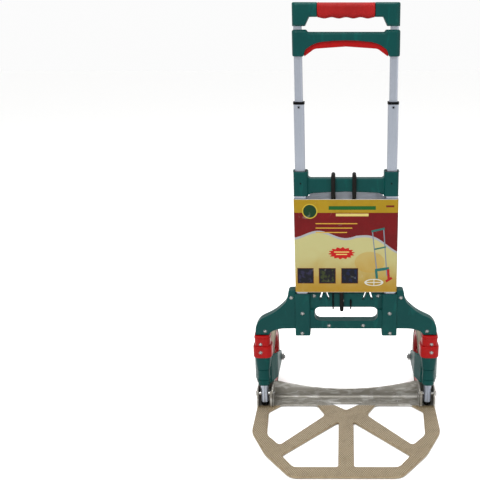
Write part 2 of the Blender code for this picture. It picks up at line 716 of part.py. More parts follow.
def grip_ring(x, lowest, shrink):
    """A section of the grip: an upright rounded rectangle, smaller at the ends."""
    half = HANDLE_HALF - shrink
    corners = box_outline(-half, half, lowest + shrink, HANDLE_TOP - shrink, 0.0085)
    return [(x, a, b) for a, b in outline(corners, steps=3)]


def make_grip():
    """A soft sleeve round the handle's bar, with four finger waves underneath."""
    stations = 17
    base = HANDLE_TOP - 0.0262
    outer = []
    inner = []
    hole = box_outline(-CORE_HALF - GAP, CORE_HALF + GAP, CORE_LOW - GAP, CORE_HIGH + GAP, 0.0005)
    for index in range(stations):
        share = 2 * index / (stations - 1) - 1
        x = GRIP_HALF * share
        wave = 0.0013 * (1 - math.cos(4 * math.pi * (share + 1)))
        outer.append(grip_ring(x, base - wave, 0.0015 if abs(share) > 0.99 else 0))
        inner.append([(x, a, b) for a, b in outline(hole, steps=3)])
    smooth(loft("handle_grip", outer, "grip", "inner_stage", inner=inner), 60)


# ---- release bar ------------------------------------------------------------------------------------------
SEAM_MID = BAR_TOP - 0.019
TAB_HALF = 0.0022
TAB_LOW = BAR_TOP - 0.0275
TAB_TOP = BAR_TOP - 0.0235


def release_shell(name, s):
    """Half of the second bar: two sleeves and a hollow arch that is open below for the trigger."""
    edge = TUBE_X + INNER_HALF + 0.0028
    sleeve_in = TUBE_X - INNER_HALF - 0.0016
    half = [
        (0, BAR_TOP - 0.0040), (TUBE_X - 0.018, BAR_TOP - 0.0040, 0.003), (TUBE_X - 0.0165, BAR_TOP, 0.001),
        (edge, BAR_TOP, 0.004), (edge, BAR_LOW, 0.003), (sleeve_in, BAR_LOW, 0.001),
        (sleeve_in - 0.0053, BAR_LOW + 0.0125, 0.004), (TUBE_X - 0.0260, SEAM_MID - 0.0080, 0.006),
        (0.045, SEAM_MID - 0.0025, 0.02), (0, SEAM_MID),
    ]
    split = s * GAP / 2
    low, high = sorted((split, s * HANDLE_HALF))
    chamfers = {"chamfer_low": 0.0022} if s < 0 else {"chamfer_high": 0.0022}
    shell = prism(name, outline(mirrored(half)), "Y", low, high, "green", "inner_stage", **chamfers)
    round_ends(shell, edge, HANDLE_HALF, BAR_LOW, BAR_TOP, END_ROUND, "inner_stage")

    # the trigger's cavity, up to a roof just above the trigger's highest place
    roof = BAR_TOP - 0.0065
    cavity = [
        (0, roof), (TUBE_X - 0.0190, roof), (TUBE_X - INNER_HALF - 0.0028, BAR_LOW + 0.030), (TUBE_X - INNER_HALF - 0.0028, BAR_LOW - 0.01),
        (0, BAR_LOW - 0.01),
    ]
    near, far = sorted((-s * 0.001, s * (TRIGGER_HALF + RUN_GAP)))
    cut(shell, prism(name + "_cavity", outline(mirrored(cavity)), "Y", near, far, None, "inner_stage"))
    for side, x_sign in SIDES:
        bore = INNER_TUBE + 2 * GAP
        hole = square_channel(name + "_tube_hole_" + side, x_sign * TUBE_X, bore, BAR_LOW - 0.01, BAR_TOP + 0.01,
                              "inner_stage")
        cut(shell, hole)
        inner, outer = sorted((x_sign * (TUBE_X - 0.013), x_sign * TUBE_X))
        tab = box_outline(inner, outer, TAB_LOW - 2 * GAP, TAB_TOP + TRIGGER_TRAVEL + 2 * GAP)
        near, far = sorted((-s * 0.001, s * (TAB_HALF + 2 * GAP)))
        cut(shell, prism(name + "_tab_way_" + side, tab, "Y", near, far, None, "inner_stage"))


def make_trigger():
    """The red arch that the fingers squeeze; a tab at each end lifts a pull rod."""
    half = [
        (0, SEAM_MID + 0.0040), (0.045, SEAM_MID + 0.0015, 0.02), (TUBE_X - 0.0250, SEAM_MID - 0.0030, 0.006),
        (TUBE_X - INNER_HALF - 0.0054, TAB_LOW + 0.0020, 0.004), (TUBE_X - INNER_HALF - 0.0036, BAR_LOW + 0.0040, 0.001),
        (TUBE_X - INNER_HALF - 0.0046, BAR_LOW, 0.001), (TUBE_X - 0.0310, SEAM_MID - 0.0150, 0.004),
        (0.045, SEAM_MID - 0.0140, 0.01), (0, SEAM_MID - 0.0110),
    ]
    trigger = prism("release_trigger", outline(mirrored(half)), "Y", -TRIGGER_HALF, TRIGGER_HALF, "red", "release",
                    chamfer_low=0.0012, chamfer_high=0.0012)
    for side, s in SIDES:
        low, high = sorted((s * (TUBE_X - 0.025), s * (TUBE_X - ROD_R - GAP)))
        tab = box_outline(-TAB_HALF, TAB_HALF, TAB_LOW, TAB_TOP)
        join(trigger, prism("trigger_tab_" + side, tab, "X", low, high, None, "release"))


# ---- rods and locks inside the tubes ----------------------------------------------------------------------
LOCK_PIN_Z = INNER_LOW - LOCK_BLOCK / 2
INNER_UP = 0.087
INNER_DOWN = 0.082


def make_locks():
    block_width = MID_TUBE - 2 * TUBE_WALL - 2 * GAP
    for side, s in SIDES:
        x = s * TUBE_X
        rod = [(LOCK_PIN_Z + 0.0045, ROD_R * 0.6), (LOCK_PIN_Z + 0.0065, ROD_R), (TAB_TOP + 0.004, ROD_R)]
        turned("pull_rod_" + side, rod, "Z", (x, 0), "steel", "release", 8)

        low = INNER_LOW - LOCK_BLOCK
        block = square_channel("lock_block_" + side, x, block_width, low, INNER_LOW - GAP, "inner_stage")
        block.data.materials.append(MATERIALS["black"])
        spigot = square_channel("lock_spigot_" + side, x, INNER_TUBE - 2 * INNER_WALL - 2 * GAP,
                                INNER_LOW - 0.002, INNER_LOW + 0.008, "inner_stage")
        join(block, spigot)
        rod_bore = [(LOCK_PIN_Z, ROD_R + RUN_GAP), (INNER_LOW + 0.02, ROD_R + RUN_GAP)]
        pin_bore = through(LOCK_PIN_R + GAP)
        cut(block, turned("lock_rod_bore_" + side, rod_bore, "Z", (x, 0), None, "inner_stage", 10))
        cut(block, turned("lock_pin_bore_" + side, pin_bore, "Y", (x, LOCK_PIN_Z), None, "inner_stage", 10))

        tip = MID_TUBE / 2 - TUBE_WALL - GAP
        pin = [(tip - 0.0122, LOCK_PIN_R), (tip - 0.0010, LOCK_PIN_R), (tip, LOCK_PIN_R - 0.0008)]
        turned("lock_pin_" + side, pin, "Y", (x, LOCK_PIN_Z), "steel", "lock_pins", 10)


# ---- toe plate --------------------------------------------------------------------------------------------
def toe_outline():
    shoulder = 0.415 * TOE_REACH
    cheek = 0.72 * TOE_REACH
    half = [
        (0, FLANGE_BACK), (TOE_HALF, FLANGE_BACK, 0.002), (TOE_HALF, -shoulder, 0.022),
        (0.815 * TOE_HALF, -cheek, 0.022), (0.535 * TOE_HALF, -TOE_REACH, 0.020), (0, -TOE_REACH),
    ]
    return outline(mirrored(half), steps=4)


def toe_windows():
    """The five windows: two at the sides, two in front and a small one behind the hub."""
    reach = TOE_REACH
    half = TOE_HALF
    side = [
        (0.732 * half, 0.000, 0.005), (0.861 * half, -0.106 * reach, 0.006), (0.831 * half, -0.455 * reach, 0.012),
        (0.684 * half, -0.597 * reach, 0.006), (0.226 * half, -0.160 * reach, 0.010), (0.326 * half, 0.000, 0.006),
    ]
    front = [
        (0.080 * half, -0.265 * reach, 0.006), (0.647 * half, -0.733 * reach, 0.005),
        (0.516 * half, -0.878 * reach, 0.008), (0.078 * half, -0.878 * reach, 0.005),
    ]
    back = [(-0.190 * half, 0.009, 0.002), (0.190 * half, 0.009, 0.002), (0.0, -0.085 * reach, 0.004)]
    windows = {"back": outline(back)}
    for name, s in SIDES:
        windows["side_" + name] = outline([(s * x, y, r) for x, y, r in side])
        windows["front_" + name] = outline([(s * x, y, r) for x, y, r in front])
    return windows


def flange_outline():
    """The back flange seen from behind: its top edge dips to the middle."""
    waist = 0.79 * TOE_HALF
    count = 6
    half = []
    for index in range(count + 1):
        x = waist * index / count
        half.append((x, FLANGE_MID + (FLANGE_END - FLANGE_MID) * (x / waist) ** 2))
    half += [(TOE_HALF, FLANGE_END, 0.002), (TOE_HALF, TOE_UNDER), (0, TOE_UNDER)]
    return outline(mirrored(half))


def make_toe():
    """One sheet: the treaded plate with its windows, the back flange and a wall at each side."""
    plate = prism("toe_plate", toe_outline(), "Z", TOE_UNDER, TOE_TOP, "tread", "toe", chamfer_high=0.0008)
    for name, points in toe_windows().items():
        cut(plate, prism("toe_window_" + name, points, "Z", -0.01, 0.02, None, "toe"))
    join(plate, prism("toe_flange", flange_outline(), "Y", FLANGE_BACK - SHEET, FLANGE_BACK, None, "toe"))
    wall = outline([(EAR_FRONT, TOE_UNDER), (FLANGE_BACK, TOE_UNDER), (FLANGE_BACK, FLANGE_END, 0.003),
                    (EAR_FRONT, FLANGE_END, 0.006)])
    for side, s in SIDES:
        low, high = sorted((s * (TOE_HALF - SHEET), s * TOE_HALF))
        join(plate, prism("toe_wall_" + side, wall, "X", low, high, None, "toe"))
    for side, s in SIDES:
        hole = [(s * (TOE_HALF - 0.01), PIN_R + GAP), (s * (TOE_HALF + 0.01), PIN_R + GAP)]
        cut(plate, turned("wall_pin_hole_" + side, hole, "X", (0, PIVOT_Z), None, "toe", 12))
        make_inner_ear(side, s)
        make_pivot_pin(side, s)
    for side, s in SIDES:
        for end, x, y in (("side", 0.808 * TOE_HALF, -0.672 * TOE_REACH), ("front", 0.447 * TOE_HALF, -0.941 * TOE_REACH)):
            foot = [(0, FOOT_R - 0.0006), (0.0006, FOOT_R), (TOE_UNDER - GAP, FOOT_R)]
            turned("toe_foot_{}_{}".format(end, side), foot, "Z", (s * x, y), "rubber", "toe", 12)


def make_inner_ear(side, s):
    """An angle that stands on the plate on the leg's inner side and carries the pin's inner end."""
    web_out = LEG_X - EAR_INNER
    web_in = web_out - SHEET
    low = TOE_TOP + GAP
    back = FLANGE_BACK - SHEET - GAP
    profile = outline([(EAR_FRONT, low), (back, low), (back, EAR_BACK_TOP, 0.004), (0.012, EAR_BACK_TOP, 0.006),
                       (EAR_FRONT, FLANGE_END, 0.004)])
    x_low, x_high = sorted((s * web_in, s * web_out))
    ear = prism("toe_ear_" + side, profile, "X", x_low, x_high, "tread", "toe")
    lip_low, lip_high = sorted((s * web_in, s * (web_out + 0.0040)))
    lip = box_outline(lip_low, lip_high, low, FLANGE_END - 0.0015)
    join(ear, prism("ear_lip_" + side, lip, "Y", EAR_FRONT, EAR_FRONT + SHEET, None, "toe"))
    hole = [(s * (web_in - 0.01), PIN_R + GAP), (s * (web_out + 0.01), PIN_R + GAP)]
    cut(ear, turned("ear_pin_hole_" + side, hole, "X", (0, PIVOT_Z), None, "toe", 12))


def make_pivot_pin(side, s):
    inner_end = LEG_X - EAR_INNER - SHEET - 0.0022
    wall = TOE_HALF + GAP
    profile = [(s * inner_end, PIN_R - 0.0008), (s * (inner_end + 0.0008), PIN_R), (s * wall, PIN_R),
               (s * wall, 0.0058), (s * (wall + 0.0016), 0.0052), (s * (wall + 0.0024), 0.0030)]
    turned("pivot_pin_" + side, profile, "X", (0, PIVOT_Z), "steel", "toe", 12)


# ---- wheel forks ------------------------------------------------------------------------------------------
def inward(s, u):
    """X of a point that lies u from the leg axis towards the truck's middle."""
    return s * (LEG_X - u)


def fork_side_profile():
    """The fork from the side, (y, z): deep at the leg, round at the axle."""
    tip = []
    for index in range(9):
        turn = math.radians(-80 + 160 * index / 8)
        tip.append((AXLE_BACK + FORK_TIP_R * math.cos(turn), AXLE_Z + FORK_TIP_R * math.sin(turn)))
    near = [(0.033, AXLE_Z + 0.046), (-0.004, KNUCKLE_TOP - 0.004), (-0.004, KNUCKLE_LOW + 0.004),
            (0.010, KNUCKLE_LOW), (0.036, KNUCKLE_LOW)]
    return tip + near


def fork_plan(s):
    """The fork from above, (x, y): a fork that opens out from the leg to the two plates."""
    far = AXLE_BACK + FORK_TIP_R + 0.005
    inner = FORK_INNER - FORK_PLATE
    outer = FORK_OUTER - FORK_PLATE
    corners = [
        (0.0135, -0.006), (FORK_INNER, 0.030, 0.004), (FORK_INNER, far), (inner, far), (inner, 0.0315, 0.003),
        (0.0115, 0.0165, 0.002), (-0.0095, 0.0165, 0.002), (-outer, 0.0290, 0.003), (-outer, far),
        (-FORK_OUTER, far), (-FORK_OUTER, 0.027, 0.004), (-0.0135, -0.006),
    ]
    return [(inward(s, u), v) for u, v in outline(corners, steps=2)]


def make_fork(side, s):
    body = "fork_" + side
    plates = prism("fork_plates_" + side, fork_plan(s), "Z", KNUCKLE_LOW - 0.02, KNUCKLE_TOP + 0.02, None, body)
    low, high = sorted((inward(s, FORK_INNER + 0.01), inward(s, -FORK_OUTER - 0.01)))
    keep(plates, prism("fork_side_" + side, fork_side_profile(), "X", low, high, None, body))

    levels = [(KNUCKLE_LOW, 0.0122, 0.0125), (KNUCKLE_LOW + 0.002, 0.0132, 0.0138), (KNUCKLE_LOW + 0.035, 0.0138, 0.0155),
              (KNUCKLE_TOP - 0.012, 0.0160, 0.0168), (KNUCKLE_TOP, 0.0175, 0.0175)]
    rings = [rounded_ring(s * LEG_X, wide, deep, 0.0085, z) for z, wide, deep in levels]
    fork = smooth(loft("wheel_fork_" + side, rings, "green", body))
    join(fork, plates)
    bore = [(KNUCKLE_LOW - 0.01, LEG_R + SLIDE_GAP), (KNUCKLE_TOP + 0.01, LEG_R + SLIDE_GAP)]
    cut(fork, turned("fork_bore_" + side, bore, "Z", (s * LEG_X, 0), None, body, 16))
    axle_hole = [(low, AXLE_R + GAP), (high, AXLE_R + GAP)]
    cut(fork, turned("fork_axle_hole_" + side, axle_hole, "X", (AXLE_BACK, AXLE_Z), None, body, 12))

    head = -FORK_OUTER - GAP
    nut = FORK_INNER + GAP
    bolt = [(head - 0.0036, 0.0030), (head - 0.0026, 0.0060), (head, 0.0072), (head, AXLE_R), (nut + 0.0082, AXLE_R),
            (nut + 0.0090, AXLE_R - 0.0008)]
    bolt = [(inward(s, u), radius) for u, radius in bolt]
    turned("axle_bolt_" + side, bolt, "X", (AXLE_BACK, AXLE_Z), "steel", body, 12)
    ends = [inward(s, nut), inward(s, nut + 0.0062)]
    centre = (AXLE_BACK, AXLE_Z)
    rings = [[(x, a, b) for a, b in circle(0.0072, 6, centre)] for x in ends]
    holes = [[(x, a, b) for a, b in circle(AXLE_R + GAP, 6, centre)] for x in ends]
    nut = loft("axle_nut_" + side, rings, "steel", body, inner=holes)
    cut(nut, turned("nut_thread_" + side, [(low, AXLE_R + GAP), (high, AXLE_R + GAP)], "X", centre, None, body, 12))


# ---- wheels -----------------------------------------------------------------------------------------------
def make_wheel(side, s):
    body = "wheel_" + side
    centre = (AXLE_BACK, AXLE_Z)
    middle = (FORK_INNER - FORK_OUTER) / 2
    boss = (FORK_INNER + FORK_OUTER) / 2 - FORK_PLATE - RUN_GAP
    seat = WHEEL_R - TYRE_DEPTH
    rim = WHEEL_WIDTH / 2 - 0.0015
    half = [
        (boss, AXLE_R + GAP), (boss, 0.0105), (0.0065, 0.0125), (0.0035, 0.0200), (0.0035, seat - 0.0150),
        (rim - 0.0010, seat - 0.0095), (rim, seat - 0.0075), (rim, seat),
    ]
    profile = half + [(-a, r) for a, r in reversed(half)]
    profile = [(inward(s, middle + a), r) for a, r in profile]
    turned_ring("wheel_hub_" + side, profile, "X", centre, "red", body)

    wide = WHEEL_WIDTH / 2
    tread = [
        (rim, seat + GAP), (wide, seat + 0.0015), (wide - 0.0004, WHEEL_R - 0.0022), (wide - 0.0035, WHEEL_R - 0.0003),
        (0.0045, WHEEL_R),
    ]
    profile = tread + [(-a, r) for a, r in reversed(tread)]
    profile = [(inward(s, middle + a), r) for a, r in profile]
    turned_ring("wheel_tyre_" + side, profile, "X", centre, "tyre", body)


# ---- the truck --------------------------------------------------------------------------------------------
clear_scene()
MATERIALS = make_materials()
BODIES = make_bodies()
make_tubes()
make_lower_frame()
make_bracket()
make_legs()
make_card()
make_bungee()
handle_shell("handle_front", -1)
handle_shell("handle_back", 1)
make_grip()
release_shell("release_bar_front", -1)
release_shell("release_bar_back", 1)
make_trigger()
make_locks()
make_toe()
for wheel_side, wheel_sign in SIDES:
    make_fork(wheel_side, wheel_sign)
    make_wheel(wheel_side, wheel_sign)
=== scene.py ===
# %% [markdown]
# # A foldaway hand truck
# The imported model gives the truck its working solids: tubes, hinges, wheels and locks. This lesson dresses
# them. Mouldings get the soft edges that come out of a mould, the toe plate gets its tread, the card gets its
# print, and every surface gets a finish that is worked out by nodes.

import bmesh
import bpy
import numpy as np
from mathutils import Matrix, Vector
from mathutils.geometry import tessellate_polygon


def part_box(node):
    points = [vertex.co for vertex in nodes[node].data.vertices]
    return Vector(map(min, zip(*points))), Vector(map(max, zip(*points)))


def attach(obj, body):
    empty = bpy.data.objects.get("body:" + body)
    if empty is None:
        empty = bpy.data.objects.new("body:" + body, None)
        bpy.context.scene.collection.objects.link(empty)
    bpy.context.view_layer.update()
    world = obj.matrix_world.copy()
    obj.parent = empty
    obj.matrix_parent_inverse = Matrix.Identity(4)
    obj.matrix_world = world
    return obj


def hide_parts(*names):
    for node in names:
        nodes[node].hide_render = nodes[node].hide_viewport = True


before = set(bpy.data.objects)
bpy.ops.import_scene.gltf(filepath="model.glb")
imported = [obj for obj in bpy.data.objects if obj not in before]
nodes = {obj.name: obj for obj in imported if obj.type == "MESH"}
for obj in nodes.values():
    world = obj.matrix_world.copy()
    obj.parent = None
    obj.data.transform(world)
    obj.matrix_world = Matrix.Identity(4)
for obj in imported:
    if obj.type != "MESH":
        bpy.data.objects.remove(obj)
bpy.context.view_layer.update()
SIDES = (("left", -1), ("right", 1))
FACES = (("front", -1), ("back", 1))

# %% [markdown]
# ## Places
# Nothing is typed in twice. The tubes, the legs and the wheels say where they are, and the shapes below are
# placed from them. `plane` is the Y of the flat frame that the tubes and legs stand in.

# %% Read the places off the solids


def centre(node):
    low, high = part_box(node)
    return (low + high) / 2


def span(node, axis):
    """The lowest and the highest place of a solid along one axis."""
    return [corner["xyz".index(axis)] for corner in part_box(node)]


def half_span(node, axis):
    low, high = span(node, axis)
    return (high - low) / 2


plane = centre("outer_tube_right").y
tube_x, leg_x = centre("outer_tube_right").x, centre("leg_tube_right").x
leg_r = half_span("leg_tube_right", "x")
axle = centre("wheel_tyre_right")
wheel_r = span("wheel_tyre_right", "z")[1] - axle.z
handle_low, handle_top = span("handle_front", "z")[0], span("handle_grip", "z")[1]
bar_low, bar_top = span("release_bar_front", "z")
bracket_low, bracket_top = span("middle_bracket", "z")
card_low, card_top = span("card_sleeve", "z")
frame_low, frame_top = span("lower_frame_front", "z")[0], card_low - 0.005
plate_under, plate_top = span("toe_plate", "z")[0], span("toe_ear_right", "z")[0] - 0.0003
toe_half, toe_reach = span("toe_plate", "x")[1], plane - span("toe_plate", "y")[0]
flange_back = span("toe_plate", "y")[1] - plane
print("tubes at", round(tube_x, 4), "legs at", round(leg_x, 4), "wheel radius", round(wheel_r, 4))

# %% [markdown]
# ## Outlines
# A moulding starts as a flat outline. Its corners are given as (a, b, cut). Each corner is replaced by a
# quadratic curve that leaves the edge `cut` before the corner and joins the next edge `cut` after it. A cut
# of 0 keeps the corner sharp.

# %% Round an outline's corners, turn it and shrink it


def rounded(corners, steps=6):
    """Points of the outline: at every corner P(t) = (1-t)^2 start + 2t(1-t) corner + t^2 end."""
    table = np.array([(*corner, 0.0)[:3] for corner in corners], float)
    here, cut = table[:, :2], table[:, 2:]
    before, after = np.roll(here, 1, 0) - here, np.roll(here, -1, 0) - here
    start = here + cut * before / np.linalg.norm(before, axis=1, keepdims=True)
    end = here + cut * after / np.linalg.norm(after, axis=1, keepdims=True)
    t = np.linspace(0, 1, steps + 1)[None, :, None]
    loop = (1 - t) ** 2 * start[:, None] + 2 * t * (1 - t) * here[:, None] + t**2 * end[:, None]
    loop = loop.reshape(-1, 2)
    return loop[np.linalg.norm(loop - np.roll(loop, 1, 0), axis=1) > 1e-6]


def mirrored(half):
    """The whole outline from its right half, which runs from the top's middle to the foot's middle."""
    return list(half) + [(-corner[0], *corner[1:]) for corner in reversed(half) if abs(corner[0]) > 1e-9]


def block(a, b, half_a, half_b, cut=0.0):
    """A rectangle about (a, b), its corners cut alike."""
    return [(a - half_a, b - half_b, cut), (a + half_a, b - half_b, cut),
            (a + half_a, b + half_b, cut), (a - half_a, b + half_b, cut)]


def turned_way(loop, way):
    """The loop run anticlockwise (way 1) or clockwise (way -1), by the sign of its area."""
    a, b = loop.T
    area = (a * np.roll(b, -1) - b * np.roll(a, -1)).sum()
    return loop if area * way > 0 else loop[::-1]


def inset(loop, distance):
    """The loop moved to its left by a distance, with mitred corners: P + d (n1 + n2) / (1 + n1.n2)."""
    edge = np.roll(loop, -1, 0) - loop
    edge = edge / np.linalg.norm(edge, axis=1, keepdims=True)
    normal = np.stack([-edge[:, 1], edge[:, 0]], 1)
    before = np.roll(normal, 1, 0)
    return loop + distance * (before + normal) / (1 + (before * normal).sum(1, keepdims=True))

# %% [markdown]
# ## Solids from outlines, rings and paths
# Three makers do nearly everything. `moulded` pushes an outline along an axis and rolls its end edges over.
# `lofted` skins a stack of rings, and `turned` spins a profile round an axis. Each gives points and faces,
# and `piece` puts any number of them into one mesh that rides on a body.

# %% The makers


def on_axis(axis, along, a, b):
    """Stacks coordinates: `along` lies on the axis, and a and b are the other two in order."""
    order = {"X": (along, a, b), "Y": (a, along, b), "Z": (a, b, along)}[axis]
    return np.stack(np.broadcast_arrays(*order), -1)


def grid_faces(rows, columns, wrap_rows=False, wrap_columns=False):
    """Quads between neighbouring points of a rows x columns grid, numbered row by row."""
    i = np.arange(rows if wrap_rows else rows - 1)[:, None]
    j = np.arange(columns if wrap_columns else columns - 1)[None, :]
    i2, j2 = (i + 1) % rows, (j + 1) % columns
    quads = i * columns + j, i * columns + j2, i2 * columns + j2, i2 * columns + j
    return np.stack(np.broadcast_arrays(*quads), -1).reshape(-1, 4)


def moulded(corners, axis, low, high, holes=(), roll_low=0.0, roll_high=0.0, steps=5):
    """An outline pushed from low to high. A rolled end is a quarter circle, r (1-sin t, 1-cos t)."""
    loops = [turned_way(rounded(corners), 1)] + [turned_way(rounded(hole), -1) for hole in holes]
    turn = np.linspace(0, np.pi / 2, steps)
    first, last = turn[:steps if roll_low else 1], turn[:steps if roll_high else 1]
    insets = np.concatenate([roll_low * (1 - np.sin(first)), roll_high * (1 - np.cos(last))])
    alongs = np.concatenate([low + roll_low * (1 - np.cos(first)), high - roll_high * (1 - np.sin(last))])
    points, faces, offset = [], [], 0
    caps = ([], [])
    for loop in loops:
        stack = np.stack([inset(loop, distance) for distance in insets])
        points.append(on_axis(axis, alongs[:, None], stack[..., 0], stack[..., 1]).reshape(-1, 3))
        faces += (grid_faces(len(insets), len(loop), wrap_columns=True) + offset).tolist()
        for cap, row in zip(caps, (0, len(insets) - 1)):
            cap.append((stack[row], offset + row * len(loop)))
        offset += len(insets) * len(loop)
    for cap in caps:
        numbers = np.concatenate([start + np.arange(len(loop)) for loop, start in cap])
        flat = [[Vector((*point, 0)) for point in loop] for loop, _ in cap]
        faces += [[int(numbers[k]) for k in triangle] for triangle in tessellate_polygon(flat)]
    return np.concatenate(points), faces


def lofted(rings, closed=False):
    """Skins an array of (rings, points, 3). A closed loft joins its last ring to its first."""
    rings = np.asarray(rings, float)
    count, around = rings.shape[:2]
    faces = grid_faces(count, around, wrap_rows=closed, wrap_columns=True).tolist()
    if not closed:
        faces += [list(range(around))[::-1], list(range((count - 1) * around, count * around))]
    return rings.reshape(-1, 3), faces


def turned(profile, axis, a, b, count=48, closed=False):
    """Spins (along, radius) points round an axis through (a, b). A closed profile makes a ring."""
    along, radius = np.array(profile, float).T
    turn = np.linspace(0, 2 * np.pi, count, endpoint=False)
    across = a + radius[:, None] * np.cos(turn), b + radius[:, None] * np.sin(turn)
    return lofted(on_axis(axis, along[:, None], *across), closed)


def repeated(shape, places):
    """Copies of one small shape, one at each place: all the copies are made in one addition."""
    points, faces = shape
    places = np.asarray(places, float)
    copies = (points[None] + places[:, None]).reshape(-1, 3)
    steps = np.arange(len(places)) * len(points)
    made = []
    for size in {len(face) for face in faces}:
        same = np.array([face for face in faces if len(face) == size])
        made += (same[None] + steps[:, None, None]).reshape(-1, size).tolist()
    return copies, made

# %% [markdown]
# A mould leaves smooth flats and smooth rolled edges, so faces that meet at a shallow angle share their
# shading. The Weighted Normal modifier then lets the large flat decide the shading where it meets a rolled
# edge, which is what keeps a rolled edge from looking like a dent.

# %% Put shapes into a named piece


def piece(name, body, slot, shapes, replaces=(), angle=38):
    """One mesh object at the origin from a list of (points, faces), whose y starts at the tubes' plane."""
    points, faces, offset = [], [], 0
    for shape_points, shape_faces in shapes:
        points.append(shape_points)
        faces += [[int(k) + offset for k in face] for face in shape_faces]
        offset += len(shape_points)
    mesh = bpy.data.meshes.new(name)
    mesh.from_pydata((np.concatenate(points) + (0, plane, 0)).tolist(), [], faces)
    made = bpy.data.objects.new(name, mesh)
    bpy.context.collection.objects.link(made)
    outward = bmesh.new()
    outward.from_mesh(mesh)
    bmesh.ops.recalc_face_normals(outward, faces=outward.faces)
    outward.to_mesh(mesh)
    outward.free()
    mesh.shade_smooth()
    mesh.set_sharp_from_angle(angle=np.radians(angle))
    weighted = made.modifiers.new("even shading", "WEIGHTED_NORMAL")
    weighted.keep_sharp = True
    mesh.materials.append(FINISHES[slot])
    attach(made, body)
    if replaces:
        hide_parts(*replaces)
    print(name, len(mesh.polygons), "faces")
    return made

# %% [markdown]
# ## Finishes
# Shader maths reads best as ordinary sums, so a small class wraps a node's output and gives it the Python
# operators. Every other node comes from `Finish.node`.

# %% Sums on shader outputs


def maths(operation, reflected=False):
    """An operator for Signal: it adds one Math node for the value itself and whatever it is combined with."""
    def combine(self, *others):
        values = (*others, self) if reflected else (self, *others)
        return self.finish.node("ShaderNodeMath", {"operation": operation}, dict(enumerate(values)))
    return combine


class Signal:
    """One number that varies over a surface."""

    def __init__(self, finish, output):
        self.finish, self.output = finish, output

    __add__ = __radd__ = maths("ADD")
    __mul__ = __rmul__ = maths("MULTIPLY")
    __sub__, __rsub__ = maths("SUBTRACT"), maths("SUBTRACT", reflected=True)
    __truediv__, __abs__, sine = maths("DIVIDE"), maths("ABSOLUTE"), maths("SINE")
    __lt__, __gt__ = maths("LESS_THAN"), maths("GREATER_THAN")

    def above(self, edge, width):
        """0 below the edge and 1 above it, with a soft stretch of this width."""
        return self.finish.node("ShaderNodeMapRange", {"interpolation_type": "SMOOTHSTEP"},
                                {"Value": self, "From Min": edge - width / 2, "From Max": edge + width / 2})

    def between(self, low, high):
        return (self > low) * (self < high)


# how bright the studio is: a colour is divided by this, so that it looks as written under the lamps
LIGHT = 2.0


def screen(colour):
    """A colour as read off a screen, 0 to 255, in the linear light that shaders use."""
    return [(c / 255) ** 2.2 / LIGHT for c in colour] + [1.0]


FINISHES = {}


class Finish:
    """A material built round one Principled shader, kept in FINISHES by its name."""

    def __init__(self, name, colour, roughness, metallic=0.0, shine=0.5):
        self.material = FINISHES[name] = bpy.data.materials.new(name)
        self.material.use_nodes = True
        self.tree = self.material.node_tree
        self.shader = self.tree.nodes["Principled BSDF"]
        constants = {"Base Color": screen(colour), "Roughness": roughness, "Metallic": metallic,
                     "Specular IOR Level": shine}
        for socket, value in constants.items():
            self.shader.inputs[socket].default_value = value
        self.place = self.node("ShaderNodeTexCoord", {}, {}, "Object")

    def node(self, kind, settings, sockets, output=0):
        """Adds a node: settings first, then its sockets' values or links. Gives the output as a Signal."""
        made = self.tree.nodes.new(kind)
        for key, value in settings.items():
            setattr(made, key, value)
        for key, value in sockets.items():
            if isinstance(value, Signal):
                self.tree.links.new(value.output, made.inputs[key])
            else:
                made.inputs[key].default_value = value
        return Signal(self, made.outputs[output])

    def axes(self):
        return [self.node("ShaderNodeSeparateXYZ", {}, {0: self.place}, axis) for axis in "XYZ"]

    def noise(self, scale, detail=2.0, stretch=(1, 1, 1), distortion=0.0):
        spread = self.node("ShaderNodeVectorMath", {"operation": "MULTIPLY"}, {0: self.place, 1: stretch})
        return self.node("ShaderNodeTexNoise", {},
                         {"Vector": spread, "Scale": scale, "Detail": detail, "Distortion": distortion})

    def distance(self, a, b):
        """Root of a^2 + b^2."""
        pair = self.node("ShaderNodeCombineXYZ", {}, {0: a, 1: b})
        return self.node("ShaderNodeVectorMath", {"operation": "LENGTH"}, {0: pair}, "Value")

    def mix(self, share, first, second):
        colours = [c if isinstance(c, Signal) else screen(c) for c in (first, second)]
        return self.node("ShaderNodeMix", {"data_type": "RGBA"}, {0: share, 6: colours[0], 7: colours[1]}, 2)

    def feed(self, socket, signal):
        self.tree.links.new(signal.output, self.shader.inputs[socket])

    def tint(self, share, first, second):
        self.feed("Base Color", self.mix(share, first, second))

    def relief(self, height, depth, strength=1.0):
        """Bump: height runs from 0 to 1, and depth is its real size in metres."""
        bump = self.node("ShaderNodeBump", {}, {"Strength": strength, "Distance": depth, "Height": height})
        self.feed("Normal", bump)

# %% [markdown]
# **Moulded plastic.** The green mouldings have the fine matt grain of an etched mould. They are a little
# cloudy, and rub marks make them shinier and paler in streaks. The red parts are the same plastic, less
# grained, and the black ones are the dullest.

# %% Green, red and black plastic


def plastic(name, colour, pale, roughness, grain_depth, shine):
    made = Finish(name, colour, roughness, shine=shine)
    cloud = made.noise(14, 4)
    scuff = made.noise(60, 6, (1, 1, 0.25), 1.5).above(0.62, 0.12)
    grain = made.noise(1600, 2)
    made.tint(cloud * 0.35 + scuff * 0.22, colour, pale)
    made.feed("Roughness", grain * 0.12 + scuff * -0.06 + cloud * 0.08 + (roughness - 0.1))
    made.relief(grain * 0.75 + cloud * 0.25, grain_depth, 0.6)


plastic("green_plastic", (0, 66, 66), (16, 106, 98), 0.42, 0.00012, 0.1)
plastic("red_plastic", (172, 5, 11), (202, 32, 28), 0.36, 0.00006, 0.12)
plastic("black_plastic", (6, 6, 7), (30, 30, 32), 0.45, 0.0001, 0.06)

